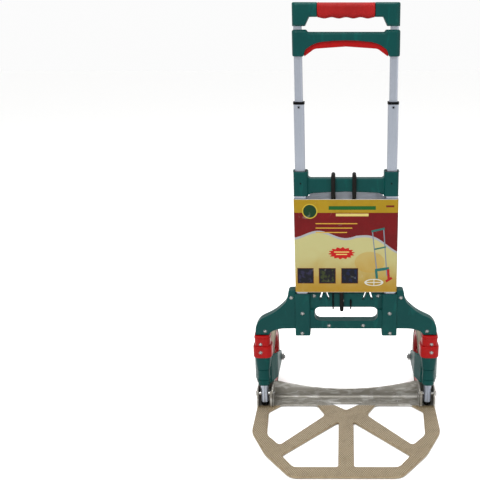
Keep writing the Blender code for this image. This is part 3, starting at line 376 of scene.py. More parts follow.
# %% [markdown]
# ** Grip.** Soft rubber over the bar: dull and a little cloudy, with a close
# pattern of pimples. The pimples are two crossed sine waves along and round the bar.

# %% Red rubber
grip_rubber = Finish("red_rubber", (184, 16, 18), 0.55, shine=0.14)
x, y, z = grip_rubber.axes()
pimples = ((x * 2600).sine() * ((y + z) * 2600).sine()).above(0.2, 0.6)
cloud = grip_rubber.noise(30, 4)
grip_rubber.tint(cloud, (146, 8, 12), (188, 28, 26))
grip_rubber.feed("Roughness", cloud * 0.2 + 0.45)
grip_rubber.relief(pimples, 0.00022, 0.7)

# %% [markdown]
# **Drawn tube.** Anodised aluminium with draw lines along the tube: noise squeezed to a twentieth along Z.
# Sliding has polished some of the lines, so the same noise drives the roughness.

# %% Tube, sheet and bright steel
tube_metal = Finish("drawn_aluminium", (196, 204, 216), 0.34, 0.72)
lines = tube_metal.noise(900, 3, (1, 1, 0.02))
rubs = tube_metal.noise(50, 5, (1, 1, 0.06)).above(0.58, 0.2)
tube_metal.tint(lines * 0.5 + rubs * 0.35, (206, 212, 224), (150, 160, 178))
tube_metal.feed("Roughness", lines * 0.2 + rubs * 0.12 + 0.22)
tube_metal.relief(lines, 0.00004, 0.5)

# rolled sheet, walked on: tan over the plate, rubbed pale on the tread; the back strip, fold and flange are
# more metallic and painted a pale silver that is a painted reflection of the sky
sheet_metal = Finish("tread_aluminium", (196, 178, 148), 0.42, 0.45)
_, y, z = sheet_metal.axes()
cloud = sheet_metal.noise(22, 5)
STRETCHES = ((1, 0.12, 1), (0.12, 1, 1))
across, along = (sheet_metal.noise(420, 4, way, 0.6).above(0.66, 0.06) for way in STRETCHES)
scratch = across + along
grime = sheet_metal.noise(70, 6).above(0.56, 0.25)
tan = sheet_metal.mix(cloud * 0.35 + grime * 0.3, (180, 160, 126), (142, 122, 92))
tan = sheet_metal.mix(z.between(plate_top + 0.0003, plate_top + 0.0006), tan, (250, 240, 220))
smudge = sheet_metal.noise(90, 8, (0.35, 1, 1.2), 1.0).above(0.42, 0.26)
# painted reflection: the pale silver on the back strip, fold and flange stands in for the sky they reflect,
# and the smudges in it are dirt
painted_reflection_silver = sheet_metal.mix(smudge, (236, 234, 228), (178, 174, 164))
folded = (y.above(plane - 0.003, 0.002) + z.above(plate_top + 0.002, 0.001)) > 0.5
sheet_metal.tint(folded, tan, painted_reflection_silver)
sheet_metal.feed("Metallic", folded * 0.3 + 0.4)
sheet_metal.feed("Roughness", cloud * 0.14 + grime * 0.1 - scratch * 0.06 + 0.32)
sheet_metal.relief(scratch * -0.5 + cloud * 0.2, 0.00005, 0.5)

bright_steel = Finish("zinc_steel", (205, 205, 202), 0.22, 1.0)
cloud = bright_steel.noise(220, 4)
bright_steel.tint(cloud, (222, 222, 218), (150, 150, 152))
bright_steel.feed("Roughness", cloud * 0.22 + 0.1)

# %% [markdown]
# **Rubber and cord.** The tyres are grey-tan rubber, dusty where they roll. The elastic cord has a woven
# cover: two sets of threads cross at a slant, which is a product of sines on the tube's own map, along and
# around.

# %% Tyre, foot and cord
tyre_rubber = Finish("grey_rubber", (128, 118, 102), 0.72)
_, y, z = tyre_rubber.axes()
worn = tyre_rubber.distance(y - axle.y, z - axle.z).above(wheel_r - 0.0012, 0.0012)
dust = tyre_rubber.noise(160, 6).above(0.5, 0.3)
tyre_rubber.tint(worn * 0.55 + dust * 0.35, (118, 108, 92), (172, 160, 138))
tyre_rubber.feed("Roughness", dust * 0.15 + 0.68)
tyre_rubber.relief(tyre_rubber.noise(700, 3), 0.00012, 0.5)

foot_rubber = Finish("black_rubber", (22, 22, 22), 0.8)
dust = foot_rubber.noise(300, 4)
foot_rubber.tint(dust * 0.5, (18, 18, 18), (66, 62, 56))
foot_rubber.relief(dust, 0.0001)

woven_cord = Finish("black_cord", (20, 20, 19), 0.75, shine=0.1)
map_place = woven_cord.node("ShaderNodeUVMap", {"uv_map": "cord"}, {})
u, v, _ = [woven_cord.node("ShaderNodeSeparateXYZ", {}, {0: map_place}, axis) for axis in "XYZ"]
lengthways, threads = u * 1500, v * (2 * np.pi * 12)
weave = ((lengthways + threads).sine() * (lengthways - threads).sine()).above(0, 1.2)
fleck = (woven_cord.noise(500, 2) > 0.66) * weave
woven_cord.tint(weave * 0.5 + fleck * 0.5, (10, 10, 10), (60, 58, 54))
woven_cord.relief(weave, 0.0003, 0.8)

print(len(FINISHES), "finishes so far")

# %% [markdown]
# ## The standing solids
# The square tubes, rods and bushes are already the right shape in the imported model. They keep their meshes
# and only get a finish, through the material slots of their objects.

# %% Dress the solids that stay
KEPT = {
    "drawn_aluminium": ["outer_tube", "mid_tube", "inner_tube"],
    "black_plastic": ["outer_bush", "mid_bush", "lock_block"],
    "zinc_steel": ["pull_rod", "lock_pin", "axle_bolt", "axle_nut", "pivot_pin"],
    "black_rubber": ["toe_foot_side", "toe_foot_front"],
}
for finish, families in KEPT.items():
    for family in families:
        for side, _ in SIDES:
            for material_slot in nodes[family + "_" + side].material_slots:
                material_slot.material = FINISHES[finish]
print("dressed", sum(len(families) for families in KEPT.values()) * 2, "solids")

# %% [markdown]
# ## Bars that change along their length
# The handle, the grip, the release bar and the fork's arms are all bars whose section changes as you walk
# along them. Each section is a rectangle with round corners, given by its four sides at every station. Four
# quarter circles of radius r, centred r in from the corners, make the ring.

# %% A bar from stations


def section_bar(axis, along, a_low, a_high, b_low, b_high, corner, steps=5):
    """Ring at each station: corner centre + r (cos t, sin t), t through the corner's own quarter turn."""
    along, a_low, a_high, b_low, b_high = np.broadcast_arrays(along, a_low, a_high, b_low, b_high)
    r = np.minimum(corner, 0.499 * np.minimum(a_high - a_low, b_high - b_low))[:, None]
    turn = (np.linspace(0, np.pi / 2, steps)[None] + np.arange(4)[:, None] * np.pi / 2).ravel()[None]
    right = np.repeat([True, False, False, True], steps)[None]
    upper = np.repeat([True, True, False, False], steps)[None]
    a = np.where(right, a_high[:, None] - r, a_low[:, None] + r) + r * np.cos(turn)
    b = np.where(upper, b_high[:, None] - r, b_low[:, None] + r) + r * np.sin(turn)
    return lofted(on_axis(axis, along[:, None], a, b))


def stations(edge, *keys, count=41):
    """Places from -edge to edge: evenly spread, with the named places added and more near the ends."""
    near_end = edge - 0.01 * (1 - np.sin(np.linspace(0, np.pi / 2, 9)))
    keys = np.concatenate([np.linspace(0, edge, count // 2), near_end, keys])
    return np.unique(np.round(np.concatenate([-keys, keys]), 6))


def end_round(x, edge, radius):
    """How far a side is pulled in near the end: r - sqrt(r^2 - d^2), d deep into the last radius."""
    depth = np.clip(np.abs(x) - (edge - radius), 0, radius)
    return radius - np.sqrt(np.maximum(radius**2 - depth**2, 0))

# %% A bar made of two halves


def half_bar(x, s, deep, highest, lowest, r_top, r_low, inner):
    """Half a bar, on the side s: an arc of radius r_top, one of r_low, then the inner path back up."""
    t = np.linspace(0, np.pi / 2, 8)[None]
    r_top, r_low = (np.minimum(r, 0.45 * np.minimum(deep, highest - lowest))[:, None] for r in (r_top, r_low))
    column = [(deep[:, None] - r_top * (1 - np.sin(t)), highest[:, None] - r_top * (1 - np.cos(t))),
              (deep[:, None] - r_low * (1 - np.cos(t)), lowest[:, None] + r_low * (1 - np.sin(t)))]
    column += [((0 * x + a)[:, None], (0 * x + b)[:, None]) for a, b in inner]
    a, b = (np.concatenate(part, 1) for part in zip(*column))
    return lofted(on_axis("X", x[:, None], s * a, b))

# %% [markdown]
# ## The top handle
# Two mouldings screwed together face to face make the handle. Seen from above its ends are round, and from
# the front they are nearly square, so the depth shrinks over the last 10 mm and the height over the last 3.
# Under the grip the bar is thinner.

# %% Handle and grip
HALF_DEPTH = span("handle_back", "y")[1] - plane
GRIP_HALF = 0.053
END_DEPTH_R, ARC_TOP, ARC_LOW = 0.01, 0.0075, 0.0045
handle_edge = span("handle_front", "x")[1]
sleeve_in = tube_x - 0.0145
bar_under = handle_top - 0.0255

turns = np.array([GRIP_HALF, GRIP_HALF + 0.0004, sleeve_in - 0.0085, sleeve_in - 0.007, sleeve_in - 0.0062,
                  sleeve_in + 0.0002, sleeve_in + 0.0008, sleeve_in + 0.002])
x = stations(handle_edge, *turns)
lowest = np.interp(np.abs(x), turns, [handle_top - 0.0205, bar_under, bar_under, bar_under - 0.0004,
                                      bar_under - 0.0016, handle_low + 0.0012, handle_low + 0.0003,
                                      handle_low])
highest = np.where(np.abs(x) <= GRIP_HALF, handle_top - 0.004, handle_top - end_round(x, handle_edge, 0.003))
deep = np.where(np.abs(x) <= GRIP_HALF, 0.0092, HALF_DEPTH) - end_round(x, handle_edge, END_DEPTH_R)


def seam_path_top(highest):
    """The inner path's last two points: the seam, and the fine chamfer above it."""
    return (0.0001, highest - 0.0005), (0.0006, highest)


seam_path = ((0.0006, lowest), (0.0001, lowest + 0.0005), *seam_path_top(highest))
for side, s in FACES:
    shell = half_bar(x, s, deep, highest, lowest, ARC_TOP, ARC_LOW, seam_path)
    piece("handle_shell_" + side, "inner_stage", "green_plastic", [shell], ["handle_" + side])

x = np.linspace(-GRIP_HALF, GRIP_HALF, 97)
share = x / GRIP_HALF
FINGERS, WAVE = 4, 0.0011
waves = WAVE * (1 - np.cos(FINGERS * np.pi * (share + 1)))
roll = end_round(x, GRIP_HALF, 0.0018)
cuffs = 0.0006 * (np.abs(share) > 0.93)
grip_deep = HALF_DEPTH - roll - 0.0006 + cuffs - 0.0006 * waves / 0.0026
grip = section_bar("X", x, -grip_deep, grip_deep, handle_top - 0.0262 - waves + roll,
                   handle_top - roll - 0.0004 + cuffs / 2, 0.0088, steps=9)
piece("hand_grip", "inner_stage", "red_rubber", [grip], ["handle_grip"], angle=50)

# %% [markdown]
# ## The release bar
# The second bar hides the trigger. Its section is an arch: a roof over the trigger and a wall in front of it.
# The roof comes down to the underside where the bar turns into the two sleeves, so one ring of points serves
# the whole length.

# %% Release bar and trigger
release_edge = span("release_bar_front", "x")[1]
seam = bar_top - 0.019
release_in = tube_x - 0.0092
trigger_deep = span("release_trigger", "y")[1] - plane
wall_in = trigger_deep + 0.0006
x = stations(release_edge, tube_x - 0.018, tube_x - 0.0165, tube_x - 0.0104, tube_x - 0.0103, release_in,
             release_in - 0.001, tube_x - 0.0145, tube_x - 0.026, 0.045, count=61)
away = np.abs(x)
under_x = [0, 0.02, 0.045, 0.055, tube_x - 0.026, tube_x - 0.0145, release_in - 0.001, release_in]
lowest = np.interp(away, under_x, [seam, seam - 0.0006, seam - 0.0028, seam - 0.005, seam - 0.0084,
                                   bar_low + 0.0125, bar_low + 0.0012, bar_low])
highest = np.interp(away, [tube_x - 0.0185, tube_x - 0.016], [bar_top - 0.004, bar_top])
highest = highest - end_round(x, release_edge, 0.004)
lowest = lowest + end_round(x, release_edge, 0.003)
roof = np.interp(away, [tube_x - 0.019, tube_x - 0.0104], [bar_top - 0.0065, bar_low + 0.03])
roof = np.where(away < tube_x - 0.01035, roof, lowest + 0.0002)
deep = HALF_DEPTH - end_round(x, release_edge, END_DEPTH_R)
inner_wall = np.minimum(wall_in, deep - 0.002)
arch_path = ((inner_wall, lowest), (inner_wall, roof), (0.0001, roof), *seam_path_top(highest))
for side, s in FACES:
    shell = half_bar(x, s, deep, highest, lowest, ARC_TOP, 0.002, arch_path)
    piece("release_shell_" + side, "inner_stage", "green_plastic", [shell], ["release_bar_" + side])

tab_low = bar_top - 0.0275
arch = [(0, seam + 0.004), (0.045, seam + 0.0015, 0.012), (tube_x - 0.025, seam - 0.003, 0.004),
        (tube_x - 0.013, tab_low + 0.002, 0.002), (tube_x - 0.0112, bar_low + 0.004),
        (tube_x - 0.0122, bar_low), (tube_x - 0.031, seam - 0.015, 0.004), (0.045, seam - 0.014, 0.006),
        (0, seam - 0.011)]
trigger = [moulded(mirrored(arch), "Y", -trigger_deep, trigger_deep, roll_low=0.0014, roll_high=0.0014)]
for _, s in SIDES:
    ends = sorted((s * (tube_x - 0.025), s * (tube_x - 0.0023)))
    tab = block(0, tab_low + 0.002, 0.0022, 0.002)
    trigger.append(moulded(tab, "X", *ends, roll_low=0.0004, roll_high=0.0004))
piece("squeeze_trigger", "release", "red_plastic", trigger, ["release_trigger"])

# %% [markdown]
# ## Middle bracket
# Two sleeves hug the tops of the outer tubes. They are upright mouldings with a square hole, and the cross
# bar between them sags a little at its underside.

# %% Middle bracket
TUBE_HOLE = 0.0123
bracket = []
for _, s in SIDES:
    bracket.append(moulded(block(s * (tube_x - 0.0013), 0, 0.0143, 0.0152, 0.0075), "Z", bracket_low,
                           bracket_top, holes=[block(s * tube_x, 0, TUBE_HOLE, TUBE_HOLE, 0.002)],
                           roll_low=0.0012, roll_high=0.0016))
x = np.linspace(-0.077, 0.077, 61)
sag = np.interp(np.abs(x), [0, 0.037, 0.066, 0.073, 0.077], [0.0076, 0.0066, 0.005, 0.002, 0.0012])
rise = np.interp(np.abs(x), [0, 0.07, 0.0735, 0.077], [0, 0, 0.0022, 0.0075])
bracket.append(section_bar("X", x, -0.01, 0.01, bracket_low + sag, rise + bracket_top - 0.014, 0.0032))
piece("bracket_moulding", "frame", "green_plastic", bracket, ["middle_bracket"])

# %% [markdown]
# ## Lower frame
# This is the broad moulding that joins the tubes to the legs. It is built from the shapes that a
# mould-maker would cut: two bent arms, a sill under the carrying slot and a thinner bar above it for the
# elastic cord. Each is an outline pushed away from the seam, with its outer edge rolled over. The socket
# round each tube is pushed upwards instead, so that it keeps its square hole for the inner tubes to slide
# down.

# %% Lower frame
RIB_HALF = 0.0155
ARM_DEEP, BAR_DEEP = span("lower_frame_back", "y")[1] - plane - 0.0027, 0.008
rib = tube_x + RIB_HALF
arm_out, arm_in = leg_x + 0.0138, leg_x - 0.0135
neck = arm_in - rib
slot_low, slot_high = frame_low + 0.0317, frame_low + 0.0607
tall, slot_half, bar_end = frame_top - frame_low, 0.0645, 0.0762


def raised(corners, z):
    """The outline with every corner lifted by z."""
    return [(a, b + z, *cut) for a, b, *cut in corners]


arm = raised([(rib - 0.0026, 0.0145), (rib - 0.0026, tall + 0.0075, 0.0035),
              (rib + 0.0125, tall + 0.0075, 0.0055),
              (rib + 0.0165, 0.0735, 0.012), (rib + 0.0165 + 0.45 * neck, 0.05, 0.014),
              (arm_out - 0.01, 0.0345, 0.0085), (arm_out - 0.0005, 0.019, 0.0085), (arm_out, 0), (arm_in, 0),
              (arm_in - 0.13 * neck, 0.0085, 0.005), (arm_in - 0.45 * neck, 0.014, 0.007)], frame_low)
sill = [(-bar_end, frame_low + 0.0145), (bar_end, frame_low + 0.0145), (bar_end, slot_high - 0.004),
        (slot_half, slot_high - 0.004), (slot_half, slot_low, 0.014), (-slot_half, slot_low, 0.014),
        (-slot_half, slot_high - 0.004), (-bar_end, slot_high - 0.004)]


def hook_notch(x_top, x_foot, wide=0.0018):
    """Four corners of a slanting notch in the upper bar, which a hook's wire passes through."""
    foot = frame_top - 0.0145
    return [(x_top - wide, frame_top), (x_foot - wide, foot), (x_foot + wide, foot),
            (x_top + wide, frame_top)]


top_bar = [(0, frame_top)] + hook_notch(0.04, 0.0345) + hook_notch(0.0485, 0.053)
top_bar += [(bar_end, frame_top), (bar_end, slot_high - 0.02), (slot_half, slot_high - 0.02),
            (slot_half, slot_high, 0.013), (0, slot_high)]


def half_moulding(corners, s, deep, roll):
    """An outline from the seam out to +-deep, with a fine chamfer at the seam and a rolled edge outside."""
    ends = (s * 0.0001, s * deep)
    rolls = {"roll_low": 0.0004, "roll_high": roll} if s > 0 else {"roll_low": roll, "roll_high": 0.0004}
    return moulded(corners, "Y", min(ends), max(ends), **rolls)


for side, s in FACES:
    shapes = [half_moulding(sill, s, ARM_DEEP, 0.0025), half_moulding(mirrored(top_bar), s, BAR_DEEP, 0.0016)]
    for _, way in SIDES:
        shapes.append(half_moulding([(way * a, *rest) for a, *rest in arm], s, ARM_DEEP, 0.0031))
    piece("frame_moulding_" + side, "frame", "green_plastic", shapes, ["lower_frame_" + side])

sockets = []
for _, way in SIDES:
    x = way * tube_x
    sockets.append(moulded(block(x, 0, RIB_HALF, RIB_HALF, 0.004), "Z", frame_low, frame_top,
                           holes=[block(x, 0, TUBE_HOLE, TUBE_HOLE, 0.002)], roll_low=0.0016,
                           roll_high=0.0012))
    sockets.append(moulded(block(x, 0, 0.0126, 0.0126), "Z", frame_low + 0.0006, frame_low + 0.0038))
piece("tube_sockets", "frame", "green_plastic", sockets)

# %% [markdown]
# ## Rivets and screws
# Every fastener is a small dome in a shallow dished ring. They are spun from one profile, so a row of them is
# one shape copied to many places.

# %% Rivets


def fastener(axis, s, radius=0.0034, rise=0.0016, count=20):
    """A domed head standing on 0 along the axis, on the side that s says, with a dark groove round it."""
    dome = np.linspace(0, np.pi / 2, 7)
    profile = [(rise * np.cos(t), radius * 0.82 * np.sin(t)) for t in dome[1:]]
    profile = [(rise, 0.0004)] + profile + [(-0.0003, radius * 0.86), (0.0004, radius),
                                            (0.0002, radius * 1.12), (-0.001, radius * 1.14)]
    return turned([(s * along, r) for along, r in profile], axis, 0, 0, count)


FRAME_RIVETS = [(rib + 0.007, frame_top - 0.0083, ARM_DEEP), (tube_x - 0.0237, frame_top - 0.0061, BAR_DEEP),
                (tube_x, frame_low + 0.0497, RIB_HALF), (arm_in + 0.0065, frame_low + 0.009, ARM_DEEP),
                (tube_x + 0.0012, frame_low + 0.0057, RIB_HALF), (0.035, frame_low + 0.022, ARM_DEEP)]
rivets = []
for _, s in FACES:
    places = [(way * a, s * deep, b) for a, b, deep in FRAME_RIVETS for _, way in SIDES]
    places.append((0.004 * s - 0.004, s * BAR_DEEP, frame_top - 0.0163))
    rivets.append(repeated(fastener("Y", s), places))
piece("frame_rivets", "frame", "zinc_steel", rivets,
      [f"tube_rivet_{face}_{side}" for face, _ in FACES for side, _ in SIDES])

screws = []
for _, s in FACES:
    places = [(way * (tube_x - 0.001), s * 0.0151, bracket_low + 0.0256) for _, way in SIDES]
    screws.append(repeated(fastener("Y", s, 0.0015, 0.0004, 12), places))
piece("bracket_screws", "frame", "black_plastic", screws)

# the pegs' heads stand out less than the gap round the tube, so that they go down through the lower bushes
peg_y, peg_z = span("mid_tube_left", "y")[0] - plane + 0.0002, span("mid_tube_left", "z")[1] - 0.005
pegs = repeated(fastener("Y", -1, 0.0026, 0.0004, 16), [(way * tube_x, peg_y, peg_z) for _, way in SIDES])
piece("stop_pegs", "mid_stage", "black_plastic", [pegs])

# %% [markdown]
# ## Legs and collars
# Each leg is a round tube with a plastic plug in its foot. The red collar above the fork is a rounded square
# sleeve. Its sections are superellipses, |x/a|^p + |y/b|^p = 1 with p about 3.4, which are squarer than an
# ellipse and have no corners to round off.

# %% Sleeves with a round bore


def superring(x, half_x, half_y, z, power=3.4, count=64):
    """One ring: x = a sgn(c)|c|^(2/p), y = b sgn(s)|s|^(2/p), for c, s the cosine and sine round the ring."""
    turn = np.linspace(0, 2 * np.pi, count, endpoint=False)
    c, s = np.cos(turn), np.sin(turn)
    c, s = (np.sign(v) * np.abs(v) ** (2 / power) for v in (c, s))
    return np.stack([x + half_x * c, half_y * s, np.full(count, z)], 1)


def bored_sleeve(x, levels, bore, power=3.4):
    """Outer rings upwards, each (z, half width, half depth), then round rings down the bore."""
    outer = [superring(x, level[1], level[-1], level[0], power) for level in levels]
    inner = [superring(x, bore, bore, z, 2.0) for z in (levels[-1][0], levels[0][0])]
    return lofted(outer + inner, closed=True)


collar_low, collar_top = span("leg_collar_right", "z")
leg_low, leg_high = span("leg_tube_right", "z")
leg_wall = [(leg_low, leg_r - 0.0016), (leg_high, leg_r - 0.0016), (leg_high, leg_r),
            (leg_low + 0.0004, leg_r), (leg_low, leg_r - 0.0004)]
plug = [(leg_low + z, r) for z, r in ((-0.008, 0.001), (-0.008, leg_r - 0.0022), (-0.0074, leg_r - 0.0008),
                                      (-0.0062, leg_r), (-0.0004, leg_r), (-0.0003, leg_r - 0.002),
                                      (0.008, leg_r - 0.0022), (0.008, 0.001))]
# the collar: a wide lower part, a narrower upper one and a bead round that, each as (height, half width)
LOWER_HALF, UPPER_HALF, step = 0.0199, 0.0166, collar_low + 0.0235
lower = [(collar_low, 0.0186), (collar_low + 0.0006, 0.0194), (collar_low + 0.0022, LOWER_HALF),
         (step - 0.001, LOWER_HALF), (step + 0.0008, 0.0194), (step + 0.0016, 0.018)]
upper = [(step, 0.015), (step + 0.001, UPPER_HALF), (collar_top - 0.001, UPPER_HALF), (collar_top, 0.016)]
bead = [(collar_top - 0.0075, 0.015), (collar_top - 0.0072, 0.0172), (collar_top - 0.0056, 0.0174),
        (collar_top - 0.0048, 0.015)]
for side, s in SIDES:
    x = s * leg_x
    tube_wall = turned(leg_wall, "Z", x, 0, 48, closed=True)
    piece("leg_" + side, "frame", "drawn_aluminium", [tube_wall], ["leg_tube_" + side])
    piece("leg_plug_" + side, "frame", "black_plastic", [turned(plug, "Z", x, 0, 40)],
          ["leg_end_cap_" + side])
    shapes = [bored_sleeve(x, lower, leg_r + 0.0003), bored_sleeve(x, upper, leg_r + 0.0003),
              bored_sleeve(x, bead, 0.012)]
    piece("collar_" + side, "frame", "red_plastic", shapes, ["leg_collar_" + side], angle=50)
    heads = [repeated(fastener("Y", face), [(x + s * 0.003, face * UPPER_HALF, collar_low + 0.0302),
                                            (x + s * 0.003, face * LOWER_HALF, collar_low + 0.0135)])
             for _, face in FACES]
    piece("collar_rivets_" + side, "frame", "zinc_steel", heads, ["collar_rivet_" + side])

# %% [markdown]
# ## Wheel forks
# A fork turns on the leg, and carries the wheel between two arms. The knuckle is a stack of three slightly
# tapered sleeves with a dark joint between them. Each arm is a bar of stations going backwards: it leaves the
# knuckle, spreads to its side of the wheel and ends in a round tip about the axle.

# %% Forks
fork_low, knuckle_top = span("wheel_fork_right", "z")
knuckle_low = max(fork_low, axle.z - 0.0095)
axle_back = axle.y - plane
TIP_R = 0.0155
GROOVES = (axle.z + 0.004, axle.z + 0.028)


def knuckle_levels():
    """Half widths by height, read off a table of five heights, with a groove 0.9 mm deep at each joint."""
    z = np.unique(np.concatenate([np.linspace(knuckle_low, knuckle_top, 30)]
                                 + [g + np.array([-0.0009, -0.0006, 0.0006, 0.0009]) for g in GROOVES]))
    table = [knuckle_low, knuckle_low + 0.002, knuckle_low + 0.035, knuckle_top - 0.012, knuckle_top]
    wide = np.interp(z, table, [0.0122, 0.0132, 0.0138, 0.0158, 0.0173])
    deep = np.interp(z, table, [0.0125, 0.0138, 0.0152, 0.0166, 0.0173])
    for index, groove in enumerate(GROOVES):
        below = (z < groove) * (z > groove - 0.02)
        dip = 0.0009 * (np.abs(z - groove) < 0.0007) + 0.0005 * below * (1 + index * 0.2)
        wide, deep = wide - dip, deep - dip
    return list(zip(z, wide, deep))


def fork_arm(s, outside):
    """Stations backwards: the sides spread by a table, the edges slope to the tip, a circle."""
    tip_start = axle_back + TIP_R * np.cos(np.radians(80))
    back = axle_back + TIP_R * np.sin(np.linspace(np.arcsin((tip_start - axle_back) / TIP_R), np.pi / 2, 14))
    y = np.concatenate([np.linspace(0.002, tip_start, 40), back[:-1], [axle_back + TIP_R - 0.00002]])
    y = np.unique(np.round(y, 6))
    if outside:
        far = -np.interp(y, [0, 0.027], [0.014, 0.022])
        near = -np.interp(y, [0, 0.0165, 0.029], [0.008, 0.0095, 0.018])
    else:
        far = np.interp(y, [0, 0.03], [0.015, 0.027])
        near = np.interp(y, [0, 0.0165, 0.0315], [0.008, 0.0115, 0.023])
    circle = np.sqrt(np.maximum(TIP_R**2 - (y - axle_back) ** 2, 1e-9))
    slope = circle[np.searchsorted(y, tip_start)]
    top = np.interp(y, [-0.004, 0.033, tip_start], [knuckle_top - 0.004, axle.z + 0.046, axle.z + slope])
    top = np.where(y > tip_start, axle.z + circle, top)
    low = np.interp(y, [0.036, tip_start], [knuckle_low + 0.0002, axle.z - slope])
    low = np.where(y > tip_start, axle.z - circle, low)
    a = np.sort(np.stack([s * (leg_x - near), s * (leg_x - far)]), axis=0)
    return section_bar("Y", y, a[0], a[1], low, top, 0.0013)


for side, s in SIDES:
    knuckle = bored_sleeve(s * leg_x, knuckle_levels(), leg_r + 0.0004, 3.2)
    piece("fork_moulding_" + side, "fork_" + side, "green_plastic",
          [knuckle, fork_arm(s, False), fork_arm(s, True)], ["wheel_fork_" + side], angle=45)

# %% [markdown]
# ## Wheels
# The hub is one red moulding: a boss, a thin web with ribs, and a rim that the tyre sits on. The tyre's
# profile has two grooves. Both are spun about the axle. The ribs are small bars, and one turn of the axle's
# circle is shared out between them.

# %% Wheels
HUB_RIBS = 8
wheel_wide, boss = half_span("wheel_tyre_right", "x"), half_span("wheel_hub_right", "x")
seat = wheel_r - 0.0072
rim = wheel_wide - 0.0015


def hub_rib(x, turn):
    """A radial rib on both faces of the web: a bar along the radius, turned about the axle."""
    reach = np.linspace(0.0105, seat - 0.008, 9)
    shape, faces = section_bar("Z", reach, x - 0.0085, x + 0.0085, -0.001, 0.001, 0.0006)
    y, z = shape[:, 1].copy(), shape[:, 2].copy()
    shape[:, 1] = axle_back + y * np.cos(turn) - z * np.sin(turn)
    shape[:, 2] = axle.z + y * np.sin(turn) + z * np.cos(turn)
    return shape, faces


def both_faces(half, x):
    """A profile of (distance from the wheel's middle, radius), carried on to the other face in reverse."""
    return [(x + a, r) for a, r in half + [(-a, r) for a, r in reversed(half)]]


hub_half = [(boss - 0.0003, 0.0046), (boss, 0.0052), (boss, 0.0098), (boss - 0.0006, 0.0105),
            (0.007, 0.0125),
            (0.004, 0.017), (0.003, 0.023), (0.003, seat - 0.017), (0.0045, seat - 0.0125),
            (rim - 0.0014, seat - 0.0095), (rim - 0.0003, seat - 0.0085), (rim, seat - 0.007), (rim, seat)]
tread_half = [(rim, seat + 0.0003), (wheel_wide - 0.0003, seat + 0.0012), (wheel_wide, seat + 0.0026),
              (wheel_wide - 0.0004, wheel_r - 0.0022), (wheel_wide - 0.0018, wheel_r - 0.0008),
              (wheel_wide - 0.0038, wheel_r - 0.0002), (0.0062, wheel_r), (0.0058, wheel_r - 0.0011),
              (0.0046, wheel_r - 0.0011), (0.0042, wheel_r), (0.001, wheel_r)]
for side, s in SIDES:
    x = centre("wheel_tyre_" + side).x
    hub = [turned(both_faces(hub_half, x), "X", axle_back, axle.z, 72, closed=True)]
    hub += [hub_rib(x, turn) for turn in np.linspace(0, 2 * np.pi, HUB_RIBS, endpoint=False)]
    piece("hub_" + side, "wheel_" + side, "red_plastic", hub, ["wheel_hub_" + side], angle=42)
    tyre = turned(both_faces(tread_half, x), "X", axle_back, axle.z, 96, closed=True)
    piece("tyre_" + side, "wheel_" + side, "grey_rubber", [tyre], ["wheel_tyre_" + side], angle=42)

# %% [markdown]
# ## Toe plate
# One pressed sheet with five windows, a flange along its back and a wall at each end. The raised tread on
# it is thousands of small diamonds. Each is a four-sided pyramid, placed where its middle is inside the
# sheet and far enough from every edge.

# %% Outline and windows


def toe_share(corners):
    """An outline given in shares of the plate's half width and of its reach, with its cuts in metres."""
    return [(a * toe_half, b * toe_reach, *cut) for a, b, *cut in corners]


front = [(1, -0.415, 0.014), (0.815, -0.72, 0.012), (0.535, -1, 0.014), (0, -1)]
toe_outline = mirrored([(0, flange_back), (toe_half, flange_back, 0.002)] + toe_share(front))
side_window = toe_share([(0.732, 0, 0.005), (0.861, -0.106, 0.006), (0.831, -0.455, 0.01),
                         (0.684, -0.597, 0.009), (0.226, -0.16, 0.012), (0.326, 0, 0.008)])
front_window = toe_share([(0.08, -0.265, 0.008), (0.647, -0.733, 0.007), (0.516, -0.878, 0.008),
                          (0.078, -0.878, 0.005)])
windows = [[(s * a, *rest) for a, *rest in window]
           for window in (side_window, front_window) for _, s in SIDES]
windows.append([(-0.19 * toe_half, 0.009, 0.003), (0.19 * toe_half, 0.009, 0.003),
                (0, -0.085 * toe_reach, 0.006)])


def inside(points, loop):
    """Even-odd rule: a point is inside when a ray from it crosses the loop an odd number of times."""
    a, b = loop, np.roll(loop, -1, 0)
    x, y = points[:, None, 0], points[:, None, 1]
    spans = (a[None, :, 1] > y) != (b[None, :, 1] > y)
    with np.errstate(divide="ignore", invalid="ignore"):
        cross = (b[:, 0] - a[:, 0]) * (y - a[:, 1]) / (b[:, 1] - a[:, 1]) + a[:, 0]
    return (spans & (x < cross)).sum(1) % 2 == 1


def clearance(points, loop):
    """Distance from each point to the nearest edge: square to the edge, or to its end."""
    a, edge = loop[None], (np.roll(loop, -1, 0) - loop)[None]
    share = ((points[:, None] - a) * edge).sum(2) / (edge**2).sum(2)
    return np.linalg.norm(points[:, None] - a - np.clip(share, 0, 1)[..., None] * edge, axis=2).min(1)

# %% Sheet, flange, walls and tread
x = np.linspace(0, 0.79 * toe_half, 13)
SHEET, FOLD_R = 0.003, 0.0045
flange_mid, flange_end = 0.0245, span("toe_plate", "z")[1]
flange_outline = [*zip(x, flange_mid + (flange_end - flange_mid) * (x / x[-1]) ** 2)]
flange_outline += [(toe_half, flange_end, 0.003), (toe_half, plate_under + 0.0004), (0, plate_under + 0.0004)]
wall_outline = [(-0.01, plate_under + 0.0006), (flange_back - 0.0006, plate_under + 0.0006),
                (flange_back - 0.0006, flange_end, 0.004), (-0.01, flange_end, 0.008)]
sheet = [moulded(toe_outline, "Z", plate_under, plate_top, holes=windows, roll_low=0.0004, roll_high=0.0008),
         moulded(mirrored(flange_outline), "Y", flange_back - SHEET, flange_back, roll_low=0.0006,
                 roll_high=0.0006)]
for _, s in SIDES:
    ends = sorted((s * (toe_half - SHEET), s * toe_half))
    sheet.append(moulded(wall_outline, "X", *ends, roll_low=0.0006, roll_high=0.0006))
